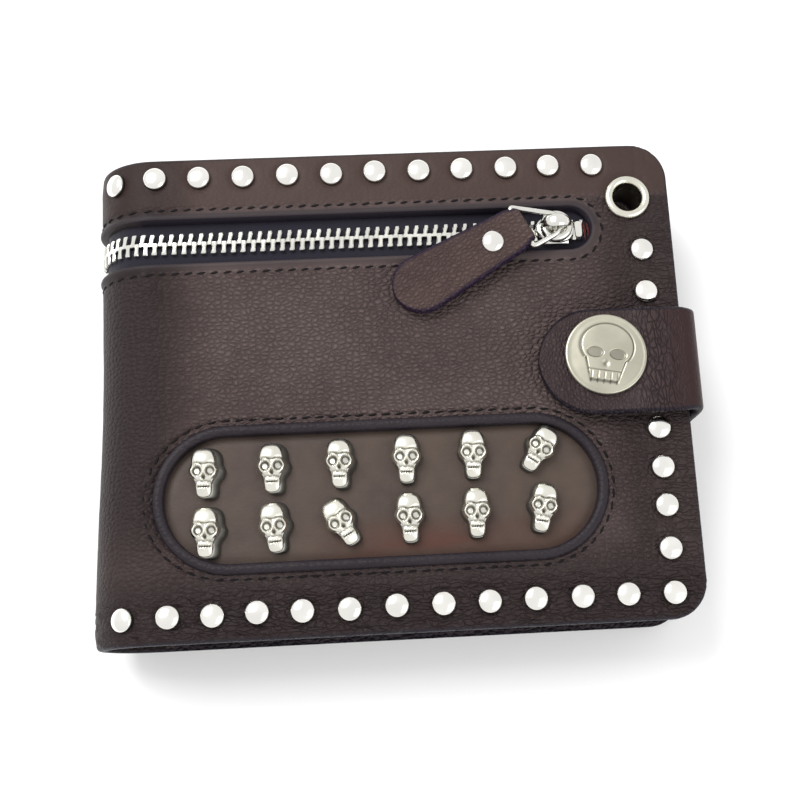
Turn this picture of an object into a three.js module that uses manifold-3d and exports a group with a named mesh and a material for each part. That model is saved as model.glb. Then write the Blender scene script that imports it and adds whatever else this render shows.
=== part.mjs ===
// A chain wallet: a studded leather bifold, closed, lying on its back cover.
// Millimetres, +Z up. X runs from the fold (left) to the free edge (right), Y up the wallet.
import * as THREE from 'three';
import { mergeVertices } from 'three/addons/utils/BufferGeometryUtils.js';
import Module from 'manifold-3d';

const wasm = await Module();
wasm.setup();

// ---- driving dimensions ----
const BODY_WIDTH = 118;
const BODY_HEIGHT = 97.6;
const THICK = 24;
const STRAP_PROUD = 2.4;
const LEATHER = 2.2;
const FABRIC = 0.5;
const GAP = 0.3;
const REST_GAP = 0.1;
const CORNER_R = 7.5;

const LEFT = -(BODY_WIDTH + STRAP_PROUD) / 2;
const RIGHT = LEFT + BODY_WIDTH;
const TOP = BODY_HEIGHT / 2;
const FOLD_R = THICK / 2;
const FOLD_X = LEFT + FOLD_R;
const MID_Z = THICK / 2;
const SPINE_SEGMENTS = 3;
const HINGE_STEP = 180 / (SPINE_SEGMENTS + 1);
const EDGE_SETBACK = 1.0;

const STUD = { pitch: 9, radius: 2.25, rise: 1.25, prong: 0.5, edge: 4.4, columnInset: 6.75 };
const STUD_COLUMN_X = RIGHT - STUD.columnInset;
const TOP_ROW_X = STUD_COLUMN_X - 8.9;
const ROW_Y = TOP - STUD.edge;
const COLUMN_Y = [25.6, 16.5, -11.9, -19.7, -27.5, -35.8];

const ZIP = { y: 30.8, slot: 8.7, rightEnd: 40.8, halfChain: 2.1 };
const TOOTH = { pitch: 2, width: 0.8, bentWidth: 0.5, reach: 0.9 };
const ZIP_BACK_LENGTH = 22;
const TAPE = { inner: 1.9, outer: 7, top: THICK - 2.5, thick: 0.3 };
const TEETH_TOP = THICK - 0.9;

const WINDOW = { x: -4.6, y: -22.3, length: 85, height: 25, bead: 2.2, beadRise: 0.8 };
const SKULL = { width: 5.7, height: 9.5, rise: 3.3, firstX: -38.7, pitch: 13.05, topY: -15.9, bottomY: -27.5 };
const SKULL_ROW_SLOPE = 0.028;
const SKULL_LEAN = { top: [0, 0, 0, 0, 0, -34], bottom: [0, 4, 28, 0, 0, -10] };

const EYELET = { x: 49.04, y: 36.96, hole: 3.0, tube: 4.0, flange: 4.7, washer: 6.5 };
const SNAP = { x: 40.8, y: 2.5, cap: 8.2, socket: 6.0, ball: 1.9, stem: 1.2 };
const STRAP = { low: -9.3, high: 12.2, tipX: 27.5, baseX: 42, flapZ: 26.0, rootZ: 3.3 };

const SLIDER = { x: 33.5, length: 7.8, width: 6.4 };
const RING = { wire: 0.6, reach: 7.4, half: 3.0, bend: 1.6, z: 27.0, turn: 4 };
const TAB = { length: 29.5, ringWidth: 9, endWidth: 12, thick: 2.6, turn: 28, tilt: 2.2, rivetAt: 6.8 };
const TONGUE = { half: 1.2, past: 1.6, root: -2.4 };

// ---- helpers ----
const radians = THREE.MathUtils.degToRad;

function toSolid(geometry) {
  const bare = geometry.clone();
  bare.deleteAttribute('normal');
  bare.deleteAttribute('uv');
  const merged = mergeVertices(bare, 1e-4);
  return new wasm.Manifold(new wasm.Mesh({
    numProp: 3,
    vertProperties: new Float32Array(merged.attributes.position.array),
    triVerts: new Uint32Array(merged.index.array),
  }));
}

function toGeometry(solid) {
  const mesh = solid.getMesh();
  const geometry = new THREE.BufferGeometry();
  geometry.setAttribute('position', new THREE.BufferAttribute(new Float32Array(mesh.vertProperties), 3));
  geometry.setIndex(new THREE.BufferAttribute(new Uint32Array(mesh.triVerts), 1));
  geometry.computeVertexNormals();
  return geometry;
}

function cut(base, ...tools) {
  return toGeometry(tools.reduce((left, tool) => left.subtract(toSolid(tool)), toSolid(base)));
}

function join(first, ...others) {
  return toGeometry(others.reduce((sum, other) => sum.add(toSolid(other)), toSolid(first)));
}

function common(first, second) {
  return toGeometry(toSolid(first).intersect(toSolid(second)));
}

function box(x0, x1, y0, y1, z0, z1) {
  const geometry = new THREE.BoxGeometry(x1 - x0, y1 - y0, z1 - z0);
  return geometry.translate((x0 + x1) / 2, (y0 + y1) / 2, (z0 + z1) / 2);
}

function cylinder(x, y, radius, z0, z1, sides = 24) {
  const geometry = new THREE.CylinderGeometry(radius, radius, z1 - z0, sides);
  return geometry.rotateX(Math.PI / 2).translate(x, y, (z0 + z1) / 2);
}

// a plan outline given thickness from z0 to z1
function slab(outline, z0, z1, curveSegments = 6) {
  const geometry = new THREE.ExtrudeGeometry(outline, { depth: z1 - z0, bevelEnabled: false, curveSegments });
  return geometry.translate(0, 0, z0);
}

// an outline in X and Z swept along Y from y0 to y1
function sweep(outline, y0, y1, curveSegments = 6) {
  const geometry = new THREE.ExtrudeGeometry(outline, { depth: y1 - y0, bevelEnabled: false, curveSegments });
  return geometry.rotateX(Math.PI / 2).translate(0, y1, 0);
}

// a plate outline from the fold side to the free edge with its two free corners rounded
function wingOutline(x0, x1, y0, y1, radius) {
  const outline = new THREE.Shape();
  outline.moveTo(x0, y0);
  outline.lineTo(x1 - radius, y0);
  outline.absarc(x1 - radius, y0 + radius, radius, -Math.PI / 2, 0, false);
  outline.lineTo(x1, y1 - radius);
  outline.absarc(x1 - radius, y1 - radius, radius, 0, Math.PI / 2, false);
  outline.lineTo(x0, y1);
  outline.closePath();
  return outline;
}

function stadium(x, y, length, height) {
  const radius = height / 2;
  const run = length / 2 - radius;
  const outline = new THREE.Shape();
  outline.absarc(x + run, y, radius, -Math.PI / 2, Math.PI / 2, false);
  outline.absarc(x - run, y, radius, Math.PI / 2, 1.5 * Math.PI, false);
  outline.closePath();
  return outline;
}

// a ring sector about the fold's centre line: angle 0 is the front face, 180 the back face
function foldSector(innerR, outerR, from, to) {
  const start = radians(90 + from);
  const end = radians(90 + to);
  const outline = new THREE.Shape();
  outline.absarc(FOLD_X, MID_Z, outerR, start, end, false);
  outline.absarc(FOLD_X, MID_Z, innerR, end, start, true);
  outline.closePath();
  return outline;
}

// moves a piece made at the fold's centre line, pointing up, round the fold by an angle
function roundFold(geometry, angle) {
  return geometry.rotateY(-radians(angle)).translate(FOLD_X, 0, MID_Z);
}

const gapAngle = THREE.MathUtils.radToDeg(GAP / 2 / FOLD_R);

const wallet = new THREE.Group();

function add(name, geometry, finish) {
  const mesh = new THREE.Mesh(geometry, new THREE.MeshStandardMaterial(finish));
  mesh.name = name;
  wallet.add(mesh);
  return mesh;
}

// ---- finishes ----
const brownLeather = { color: 0x3d2f2e, roughness: 0.55, metalness: 0 };
const insetLeather = { color: 0x5e4a3e, roughness: 0.45, metalness: 0 };
const innerLeather = { color: 0x35292a, roughness: 0.6, metalness: 0 };
const fabric = { color: 0x1b1a1f, roughness: 0.9, metalness: 0 };
const nickel = { color: 0xd6d4cc, roughness: 0.2, metalness: 1 };
const agedNickel = { color: 0xb9b6a2, roughness: 0.4, metalness: 1 };
const tape = { color: 0x20222c, roughness: 0.85, metalness: 0 };

// ---- studs: domes on the leather, their prongs joined by a clinch strip under it ----
function stud(x, y, prongBelow = 0.5) {
  const z = THICK + REST_GAP;
  const profile = [
    new THREE.Vector2(0, 0),
    new THREE.Vector2(STUD.radius, 0),
    new THREE.Vector2(STUD.radius * 0.68, STUD.rise * 0.75),
    new THREE.Vector2(0, STUD.rise),
  ];
  const dome = new THREE.LatheGeometry(profile, 9).rotateX(Math.PI / 2).translate(x, y, z);
  const prong = cylinder(x, y, STUD.prong, THICK - LEATHER - prongBelow, z + 0.2, 4);
  return join(dome, prong);
}

function studHole(x, y) {
  return cylinder(x, y, STUD.prong + GAP, THICK - LEATHER - 1, THICK + 1, 4);
}

function studStrip(points, x0, x1, y0, y1) {
  const strip = box(x0, x1, y0, y1, THICK - LEATHER - 0.8, THICK - LEATHER - GAP);
  return join(strip, ...points.map(([x, y]) => stud(x, y)));
}

const bottomRow = [];
for (let i = 0; i < 12; i += 1) bottomRow.push([STUD_COLUMN_X - i * STUD.pitch, -ROW_Y]);
const topRow = [];
for (let i = 0; i < 11; i += 1) topRow.push([TOP_ROW_X - i * STUD.pitch, ROW_Y]);
const column = COLUMN_Y.map((y) => [STUD_COLUMN_X, y]);
const foldStudAngle = {
  top: THREE.MathUtils.radToDeg((11 * STUD.pitch - (TOP_ROW_X - FOLD_X)) / FOLD_R),
  bottom: THREE.MathUtils.radToDeg((12 * STUD.pitch - (STUD_COLUMN_X - FOLD_X)) / FOLD_R),
};
const stripHalf = 1;
const stripEnd = (row) => row[row.length - 1][0] - stripHalf;

add('studs_top', studStrip(topRow, stripEnd(topRow), TOP_ROW_X + stripHalf,
  ROW_Y - stripHalf, ROW_Y + stripHalf), nickel);
add('studs_bottom', studStrip(bottomRow, stripEnd(bottomRow), STUD_COLUMN_X + stripHalf,
  -ROW_Y - stripHalf, -ROW_Y + stripHalf), nickel);
add('studs_right', studStrip(column, STUD_COLUMN_X - stripHalf, STUD_COLUMN_X + stripHalf,
  COLUMN_Y[5] - stripHalf, COLUMN_Y[0] + stripHalf), nickel);

// ---- the outer leather: two wings and the spine between them ----
function wingProfile(front) {
  const outerZ = front ? THICK : 0;
  const innerZ = front ? THICK - LEATHER : LEATHER;
  const reach = radians(HINGE_STEP / 2 - gapAngle);
  const face = front ? Math.PI / 2 : 1.5 * Math.PI;
  const turned = front ? face + reach : face - reach;
  const outline = new THREE.Shape();
  outline.moveTo(RIGHT, outerZ);
  outline.lineTo(FOLD_X, outerZ);
  outline.absarc(FOLD_X, MID_Z, FOLD_R, face, turned, !front);
  outline.absarc(FOLD_X, MID_Z, FOLD_R - LEATHER, turned, face, front);
  outline.lineTo(RIGHT, innerZ);
  outline.closePath();
  return outline;
}

function wingLeather(front) {
  const z0 = front ? MID_Z : -1;
  const plan = slab(wingOutline(LEFT - 1, RIGHT, -TOP, TOP, CORNER_R), z0, z0 + MID_Z + 1);
  return common(sweep(wingProfile(front), -TOP, TOP), plan);
}

function frontCover() {
  const low = THICK - LEATHER - 1;
  const high = THICK + 1;
  const slotShape = new THREE.Shape();
  const slotR = ZIP.slot / 2;
  slotShape.moveTo(LEFT - 1, ZIP.y - slotR);
  slotShape.lineTo(ZIP.rightEnd - slotR, ZIP.y - slotR);
  slotShape.absarc(ZIP.rightEnd - slotR, ZIP.y, slotR, -Math.PI / 2, Math.PI / 2, false);
  slotShape.lineTo(LEFT - 1, ZIP.y + slotR);
  slotShape.closePath();
  const grow = 2 * (WINDOW.bead + GAP);
  return cut(
    wingLeather(true),
    slab(slotShape, MID_Z + 1, high, 8),
    slab(stadium(WINDOW.x, WINDOW.y, WINDOW.length + grow - GAP, WINDOW.height + grow - GAP), low, high, 12),
    cylinder(EYELET.x, EYELET.y, EYELET.tube + GAP, low, high, 24),
    cylinder(SNAP.x, SNAP.y, SNAP.stem + GAP, low, high, 12),
    ...[...topRow, ...bottomRow, ...column].map(([x, y]) => studHole(x, y)),
  );
}

function zipGroove(from, to) {
  const half = ZIP.slot / 2;
  return sweep(foldSector(FOLD_R - 1.6, FOLD_R + 1, from, to), ZIP.y - half, ZIP.y + half);
}

function backCover() {
  const half = ZIP.slot / 2;
  return cut(
    wingLeather(false),
    zipGroove(180 - HINGE_STEP / 2 - 5, 180),
    box(FOLD_X - 0.1, FOLD_X + ZIP_BACK_LENGTH, ZIP.y - half, ZIP.y + half, -1, 1.6),
  );
}

function spineLeather(index) {
  const from = HINGE_STEP * (index + 0.5) + gapAngle;
  const to = HINGE_STEP * (index + 1.5) - gapAngle;
  const sector = sweep(foldSector(FOLD_R - LEATHER, FOLD_R, from, to), -TOP, TOP);
  const tools = [zipGroove(from - 5, to + 5)];
  if (index === 0) {
    const hole = (y) => cylinder(0, y, STUD.prong + GAP, FOLD_R - LEATHER - 1, FOLD_R + 1, 4);
    tools.push(roundFold(hole(ROW_Y), foldStudAngle.top), roundFold(hole(-ROW_Y), foldStudAngle.bottom));
  }
  return cut(sector, ...tools);
}

function spineLining(index) {
  const from = HINGE_STEP * (index + 0.5) + gapAngle;
  const to = HINGE_STEP * (index + 1.5) - gapAngle;
  const outerR = FOLD_R - LEATHER - GAP;
  return sweep(foldSector(outerR - FABRIC, outerR, from, to), -TOP + EDGE_SETBACK, TOP - EDGE_SETBACK);
}

// a single fold stud, its prong ending inside the leather
function foldStud(y, angle) {
  return roundFold(stud(0, y, -0.2).translate(0, 0, -MID_Z), angle);
}

add('front_cover', frontCover(), brownLeather);
add('back_cover', backCover(), brownLeather);
for (let i = 0; i < SPINE_SEGMENTS; i += 1) {
  add(`spine_leather_${i + 1}`, spineLeather(i), brownLeather);
  add(`spine_lining_${i + 1}`, spineLining(i), fabric);
}
add('fold_stud_top', foldStud(ROW_Y, foldStudAngle.top), nickel);
add('fold_stud_bottom', foldStud(-ROW_Y, foldStudAngle.bottom), nickel);

// ---- the zip: two toothed tapes in front, a closed chain round the fold and on the back ----
// the outline of one side's teeth along the straight part of the zip
function toothComb(side, firstX) {
  const half = TOOTH.width / 2;
  const root = ZIP.y + side * (ZIP.halfChain - 0.4);
  const back = ZIP.y + side * ZIP.halfChain;
  const tip = ZIP.y - side * TOOTH.reach;
  const outline = new THREE.Shape();
  outline.moveTo(firstX - half, back);
  let x = firstX;
  for (; x < SLIDER.x + SLIDER.length / 2 - 1; x += TOOTH.pitch) {
    outline.lineTo(x - half, root);
    outline.lineTo(x - half, tip);
    outline.lineTo(x + half, tip);
    outline.lineTo(x + half, root);
  }
  outline.lineTo(x - TOOTH.pitch + half, back);
  outline.closePath();
  return outline;
}

function frontTape(side) {
  const end = HINGE_STEP / 2 - gapAngle;
  const top = TAPE.top - MID_Z;
  const edges = [side * TAPE.inner, side * TAPE.outer].sort((a, b) => a - b);
  const flat = box(FOLD_X, ZIP.rightEnd + 3, ZIP.y + edges[0], ZIP.y + edges[1],
    TAPE.top - TAPE.thick, TAPE.top);
  const bend = sweep(foldSector(top - TAPE.thick, top, 0, end), ZIP.y + edges[0], ZIP.y + edges[1], 3);
  const shift = side > 0 ? 0 : TOOTH.pitch / 2;
  const reach = [-side * TOOTH.reach, side * ZIP.halfChain].sort((a, b) => a - b);
  const comb = slab(toothComb(side, FOLD_X + 1 - shift + TOOTH.pitch), TAPE.top - TAPE.thick, TEETH_TOP);
  const teeth = [];
  for (let along = 1 + shift; along < 4; along += TOOTH.pitch) {
    const tooth = box(-TOOTH.bentWidth / 2, TOOTH.bentWidth / 2, ZIP.y + reach[0], ZIP.y + reach[1],
      top - TAPE.thick, TEETH_TOP - MID_Z);
    teeth.push(roundFold(tooth, THREE.MathUtils.radToDeg(along / FOLD_R)));
  }
  return join(flat, bend, comb, ...teeth);
}

const CHAIN = { floor: FOLD_R - 1.3, tape: FOLD_R - 1.0, top: FOLD_R - 0.5 };

function chainTooth(index) {
  const side = index % 2 === 0 ? 1 : -1;
  const reach = [-side * TOOTH.reach, side * ZIP.halfChain].sort((a, b) => a - b);
  const half = TOOTH.bentWidth / 2;
  return box(-half, half, ZIP.y + reach[0], ZIP.y + reach[1], CHAIN.floor, CHAIN.top);
}

function spineChain(index) {
  const from = HINGE_STEP * (index + 0.5) + 2 * gapAngle;
  const to = HINGE_STEP * (index + 1.5) - 2 * gapAngle;
  const half = ZIP.slot / 2 - GAP;
  const strip = sweep(foldSector(CHAIN.floor, CHAIN.tape, from, to), ZIP.y - half, ZIP.y + half);
  const step = THREE.MathUtils.radToDeg(TOOTH.pitch / 2 / FOLD_R);
  const teeth = [];
  for (let angle = from + step / 2, i = 0; angle < to - step / 3; angle += step, i += 1) {
    teeth.push(roundFold(chainTooth(i), angle));
  }
  return join(strip, ...teeth);
}

function backChain() {
  const half = ZIP.slot / 2 - GAP;
  const strip = box(FOLD_X, FOLD_X + ZIP_BACK_LENGTH - GAP, ZIP.y - half, ZIP.y + half, 1.0, 1.3);
  const teeth = [];
  for (let i = 0; i * TOOTH.pitch / 2 < ZIP_BACK_LENGTH - 4; i += 1) {
    const tooth = chainTooth(i).rotateY(Math.PI);
    teeth.push(tooth.translate(FOLD_X + 1 + i * TOOTH.pitch / 2, 0, MID_Z));
  }
  return join(strip, ...teeth);
}

add('zip_tape_upper', frontTape(1), tape);
add('zip_tape_lower', frontTape(-1), tape);
for (let i = 0; i < SPINE_SEGMENTS; i += 1) add(`zip_spine_${i + 1}`, spineChain(i), tape);
add('zip_back', backChain(), tape);
add('zip_bottom_stop', box(FOLD_X + ZIP_BACK_LENGTH - 2.6, FOLD_X + ZIP_BACK_LENGTH - 1,
  ZIP.y - ZIP.halfChain, ZIP.y + ZIP.halfChain, 0.4, 0.9), nickel);
add('zip_top_stop', box(SLIDER.x + SLIDER.length / 2 + GAP, SLIDER.x + SLIDER.length / 2 + 2,
  ZIP.y - ZIP.halfChain, ZIP.y + ZIP.halfChain, TAPE.top + REST_GAP, TEETH_TOP), nickel);

// ---- slider, ring and leather pull ----
function sliderBody() {
  const half = SLIDER.length / 2;
  const side = SLIDER.width / 2;
  const plateZ = TEETH_TOP + GAP;
  const outline = new THREE.Shape();
  outline.moveTo(SLIDER.x - half, ZIP.y - side * 0.62);
  outline.lineTo(SLIDER.x + half * 0.3, ZIP.y - side);
  outline.lineTo(SLIDER.x + half, ZIP.y - side * 0.7);
  outline.lineTo(SLIDER.x + half, ZIP.y + side * 0.7);
  outline.lineTo(SLIDER.x + half * 0.3, ZIP.y + side);
  outline.lineTo(SLIDER.x - half, ZIP.y + side * 0.62);
  outline.closePath();
  const plate = slab(outline, plateZ, plateZ + 1.1);
  const flange = (y0, y1) => box(SLIDER.x - half * 0.4, SLIDER.x + half * 0.7,
    ZIP.y + y0, ZIP.y + y1, TAPE.top + GAP, plateZ + 0.2);
  const bridge = new THREE.Shape();
  const deck = plateZ + 0.9;
  const arch = RING.z + RING.wire + 1.3;
  bridge.moveTo(SLIDER.x - 2.8, deck);
  bridge.lineTo(SLIDER.x + 2.8, deck);
  bridge.lineTo(SLIDER.x + 2.8, arch - 0.9);
  bridge.lineTo(SLIDER.x + 1.9, arch);
  bridge.lineTo(SLIDER.x - 1.9, arch);
  bridge.lineTo(SLIDER.x - 2.8, arch - 0.9);
  bridge.closePath();
  const eye = box(SLIDER.x - 1.9, SLIDER.x + 1.9, ZIP.y - 3, ZIP.y + 3, plateZ + 1.1, arch - 0.8);
  const handle = cut(sweep(bridge, ZIP.y - 1, ZIP.y + 1), eye);
  return join(plate, flange(-side, -side + 0.6), flange(side - 0.6, side), handle);
}

// a closed wire loop in a level plane, its near bar at the origin and its far bar at -X
function ringLoop() {
  const bend = RING.bend;
  const corners = [[0, -1], [-RING.reach, -1], [-RING.reach, 1], [0, 1]];
  const centres = corners.map(([x, s]) => [x === 0 ? -bend : x + bend, s * (RING.half - bend)]);
  const startAngle = [0, 270, 180, 90];
  const path = [];
  centres.forEach(([cx, cy], i) => {
    for (let k = 0; k <= 4; k += 1) {
      const angle = radians(startAngle[i] - k * 22.5);
      path.push(new THREE.Vector3(cx + bend * Math.cos(angle), cy + bend * Math.sin(angle), 0));
    }
  });
  return path;
}

function pullRing() {
  const path = ringLoop();
  const sides = 8;
  const positions = [];
  const indices = [];
  path.forEach((point, i) => {
    const before = path[(i + path.length - 1) % path.length];
    const after = path[(i + 1) % path.length];
    const along = after.clone().sub(before).normalize();
    const outward = new THREE.Vector3(-along.y, along.x, 0);
    for (let k = 0; k < sides; k += 1) {
      const angle = radians(360 * k / sides);
      positions.push(point.x + outward.x * RING.wire * Math.cos(angle),
        point.y + outward.y * RING.wire * Math.cos(angle), RING.wire * Math.sin(angle));
      const next = (i + 1) % path.length;
      const turned = (k + 1) % sides;
      indices.push(i * sides + k, next * sides + turned, next * sides + k);
      indices.push(i * sides + k, i * sides + turned, next * sides + turned);
    }
  });
  const geometry = new THREE.BufferGeometry();
  geometry.setAttribute('position', new THREE.Float32BufferAttribute(positions, 3));
  geometry.setIndex(indices);
  geometry.computeVertexNormals();
  return geometry;
}

// the leather pull in its own frame: the ring's bar crosses its tongue at the origin, its length runs to -X
function pullTab() {
  const tip = TAB.endWidth / 2;
  const ringEnd = TAB.ringWidth / 2;
  const outline = new THREE.Shape();
  outline.moveTo(TONGUE.past, -TONGUE.half);
  outline.lineTo(TONGUE.past, TONGUE.half);
  outline.lineTo(TONGUE.root, TONGUE.half);
  outline.lineTo(TONGUE.root, ringEnd);
  outline.lineTo(-TAB.length + tip, tip);
  outline.absarc(-TAB.length + tip, 0, tip, Math.PI / 2, 1.5 * Math.PI, false);
  outline.lineTo(TONGUE.root, -ringEnd);
  outline.lineTo(TONGUE.root, -TONGUE.half);
  outline.closePath();
  const half = TAB.thick / 2;
  const hole = RING.wire + GAP;
  return cut(
    slab(outline, -half, half),
    box(-hole - 0.3, TONGUE.past - 0.4, -TONGUE.half - 1, TONGUE.half + 1, -hole, hole),
    cylinder(-TAB.rivetAt, 0, 0.9 + GAP, -2, 2, 10),
  );
}

function tabRivet() {
  const half = TAB.thick / 2 + REST_GAP;
  const profile = [
    new THREE.Vector2(0, -half - 0.4),
    new THREE.Vector2(1.8, -half - 0.4),
    new THREE.Vector2(1.8, -half),
    new THREE.Vector2(0.9, -half),
    new THREE.Vector2(0.9, half),
    new THREE.Vector2(2.2, half),
    new THREE.Vector2(1.6, half + 0.6),
    new THREE.Vector2(0, half + 0.8),
  ];
  return new THREE.LatheGeometry(profile, 12).rotateX(Math.PI / 2).translate(-TAB.rivetAt, 0, 0);
}

add('zip_slider', sliderBody(), nickel);
add('slider_lower_plate', box(SLIDER.x - 3.9, SLIDER.x + 3.9, ZIP.y - 2.6, ZIP.y + 2.6,
  TAPE.top - TAPE.thick - 0.9, TAPE.top - TAPE.thick - GAP), nickel);

const pull = new THREE.Group();
pull.position.set(SLIDER.x, ZIP.y, RING.z);
pull.rotation.z = radians(RING.turn);
wallet.add(pull);
pull.add(add('pull_ring', pullRing(), nickel));

const tabHinge = new THREE.Group();
tabHinge.position.set(-RING.reach, 0, 0);
tabHinge.rotation.z = radians(TAB.turn - RING.turn);
pull.add(tabHinge);
const tabTilt = new THREE.Group();
tabTilt.rotation.y = -radians(TAB.tilt);
tabHinge.add(tabTilt);
tabTilt.add(add('pull_tab', pullTab(), brownLeather));
tabTilt.add(add('tab_rivet', tabRivet(), nickel));

// ---- the oval window: bead, inset panel and twelve skull studs ----
function windowBead() {
  const grow = 2 * WINDOW.bead;
  const outerShape = stadium(WINDOW.x, WINDOW.y, WINDOW.length + grow, WINDOW.height + grow);
  const innerShape = stadium(WINDOW.x, WINDOW.y, WINDOW.length, WINDOW.height);
  const low = THICK - LEATHER;
  const high = THICK + WINDOW.beadRise;
  return cut(slab(outerShape, low, high, 12), slab(innerShape, low - 1, high + 1, 12));
}

function insetPanel() {
  const inner = stadium(WINDOW.x, WINDOW.y, WINDOW.length - 2 * GAP, WINDOW.height - 2 * GAP);
  const flange = stadium(WINDOW.x, WINDOW.y, WINDOW.length + 6, WINDOW.height + 6);
  const under = THICK - LEATHER - GAP;
  return join(slab(inner, under - 0.2, THICK - 1.2, 12), slab(flange, under - 0.6, under, 12));
}

function skull() {
  const profile = [
    new THREE.Vector2(0, 0),
    new THREE.Vector2(1, 0),
    new THREE.Vector2(0.96, 0.45),
    new THREE.Vector2(0.66, 0.85),
    new THREE.Vector2(0, 1),
  ];
  const geometry = new THREE.LatheGeometry(profile, 12).rotateX(Math.PI / 2);
  geometry.scale(SKULL.width / 2, SKULL.height / 2, SKULL.rise);
  const points = geometry.attributes.position;
  for (let i = 0; i < points.count; i += 1) {
    const down = THREE.MathUtils.clamp(-points.getY(i) / (SKULL.height / 2), 0, 1);
    points.setX(i, points.getX(i) * (1 - 0.22 * down));
    points.setZ(i, points.getZ(i) * (1 - 0.25 * down));
  }
  geometry.computeVertexNormals();
  return geometry;
}

add('window_bead', windowBead(), brownLeather);
add('inset_panel', insetPanel(), insetLeather);
for (const row of ['top', 'bottom']) {
  for (let i = 0; i < 6; i += 1) {
    const piece = add(`skull_${row}_${i + 1}`, skull(), agedNickel);
    const x = SKULL.firstX + i * SKULL.pitch;
    piece.position.set(x, SKULL[`${row}Y`] + x * SKULL_ROW_SLOPE, THICK - 1.2 + REST_GAP);
    piece.rotation.z = radians(SKULL_LEAN[row][i]);
  }
}

// ---- eyelet for the chain ----
function eyeletRing() {
  const low = 13.3;
  const seat = THICK + REST_GAP;
  const profile = [
    new THREE.Vector2(EYELET.hole, low),
    new THREE.Vector2(EYELET.tube, low),
    new THREE.Vector2(EYELET.tube, seat),
    new THREE.Vector2(EYELET.flange, seat),
    new THREE.Vector2(EYELET.flange, seat + 0.4),
    new THREE.Vector2(EYELET.flange - 0.3, seat + 0.7),
    new THREE.Vector2(EYELET.hole + 0.3, seat + 0.7),
    new THREE.Vector2(EYELET.hole, seat + 0.4),
    new THREE.Vector2(EYELET.hole, low),
  ];
  return new THREE.LatheGeometry(profile, 24).rotateX(Math.PI / 2).translate(EYELET.x, EYELET.y, 0);
}

function eyeletHole(z0, z1) {
  return cylinder(EYELET.x, EYELET.y, EYELET.tube + GAP, z0, z1, 24);
}

add('eyelet', eyeletRing(), agedNickel);
add('eyelet_washer', cut(cylinder(EYELET.x, EYELET.y, EYELET.washer, 13.6, 14.0, 24), eyeletHole(13, 15)),
  agedNickel);

// ---- inside the front wing: coin pocket, lining and card pockets ----
const insideLeft = FOLD_X + 1;
const insideRight = RIGHT - EDGE_SETBACK;
const insideTop = TOP - EDGE_SETBACK;
const insideCorner = CORNER_R - EDGE_SETBACK;

function wingPlate(z0, z1, setback = 0, top = insideTop) {
  const right = insideRight - setback;
  return slab(wingOutline(insideLeft, right, -insideTop + setback, top - setback, insideCorner), z0, z1);
}

const COIN = { low: 15.9, floor: 0.4, high: 20.6, left: -44, right: 43, bottom: -38, top: 38 };

function coinPocket() {
  return cut(
    wingPlate(COIN.low, COIN.high),
    box(COIN.left, COIN.right, COIN.bottom, COIN.top, COIN.low + COIN.floor, COIN.high + 1),
    eyeletHole(COIN.low - 1, COIN.high + 1),
  );
}

function cardPocket(z0, z1, top) {
  const corner = 2;
  return slab(wingOutline(insideLeft + 2, insideRight - 1.5, -insideTop + 1.5, top, corner), z0, z1);
}

const CARD = { thick: 0.5, step: 0.6, tops: [22, 10, -2] };

add('coin_pocket', coinPocket(), fabric);
add('front_lining', cut(wingPlate(15.1, 15.6), eyeletHole(14, 17)), fabric);
add('front_card_base', cut(wingPlate(14.2, 14.8), eyeletHole(13, 16)), innerLeather);
CARD.tops.forEach((top, i) => {
  const high = 14.0 - i * CARD.step;
  add(`front_card_pocket_${i + 1}`, cardPocket(high - CARD.thick, high, top), innerLeather);
});

// ---- inside the back wing: lining, bill compartment and card pockets ----
const BILL = { low: 3.3, high: 9.2, base: 0.6, right: 49, bottom: -40 };

function backCardBase() {
  return cut(
    wingPlate(BILL.low, BILL.high + BILL.base),
    box(insideLeft - 1, BILL.right, BILL.bottom, TOP + 1, BILL.low - 1, BILL.high),
    box(STRAP.baseX - GAP, RIGHT, STRAP.low - GAP, STRAP.high + GAP, BILL.low - 1, STRAP.rootZ + LEATHER + GAP),
  );
}

add('back_lining', wingPlate(LEATHER + GAP, LEATHER + GAP + FABRIC), fabric);
add('back_card_base', backCardBase(), innerLeather);
CARD.tops.forEach((top, i) => {
  const low = 10.0 + i * CARD.step;
  add(`back_card_pocket_${i + 1}`, cardPocket(low, low + CARD.thick, top), innerLeather);
});

// ---- strap: root under the back card panel, riser past the free edge, flap over the front ----
const strapOuter = RIGHT + STRAP_PROUD;
const riserInner = RIGHT + GAP;
const flapTop = STRAP.flapZ + LEATHER;

function strapFlap() {
  const tip = (STRAP.high - STRAP.low) / 2;
  const midY = (STRAP.high + STRAP.low) / 2;
  const outline = new THREE.Shape();
  outline.moveTo(strapOuter, STRAP.low);
  outline.lineTo(strapOuter, STRAP.high);
  outline.lineTo(STRAP.tipX + tip, STRAP.high);
  outline.absarc(STRAP.tipX + tip, midY, tip, Math.PI / 2, 1.5 * Math.PI, false);
  outline.closePath();
  return cut(slab(outline, STRAP.flapZ, flapTop, 12),
    cylinder(SNAP.x, SNAP.y, SNAP.stem + GAP, STRAP.flapZ - 1, flapTop + 1, 12));
}

add('strap_root', box(STRAP.baseX, RIGHT, STRAP.low, STRAP.high, STRAP.rootZ, STRAP.rootZ + LEATHER),
  brownLeather);
add('strap_riser', box(riserInner, strapOuter, STRAP.low, STRAP.high, STRAP.rootZ, STRAP.flapZ - GAP),
  brownLeather);
add('strap_flap', strapFlap(), brownLeather);

// ---- snap fastener: cap and socket on the flap, ball stud and post on the front cover ----
function lathe(points, sides) {
  const profile = points.map(([r, z]) => new THREE.Vector2(r, z));
  return new THREE.LatheGeometry(profile, sides).rotateX(Math.PI / 2).translate(SNAP.x, SNAP.y, 0);
}

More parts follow.
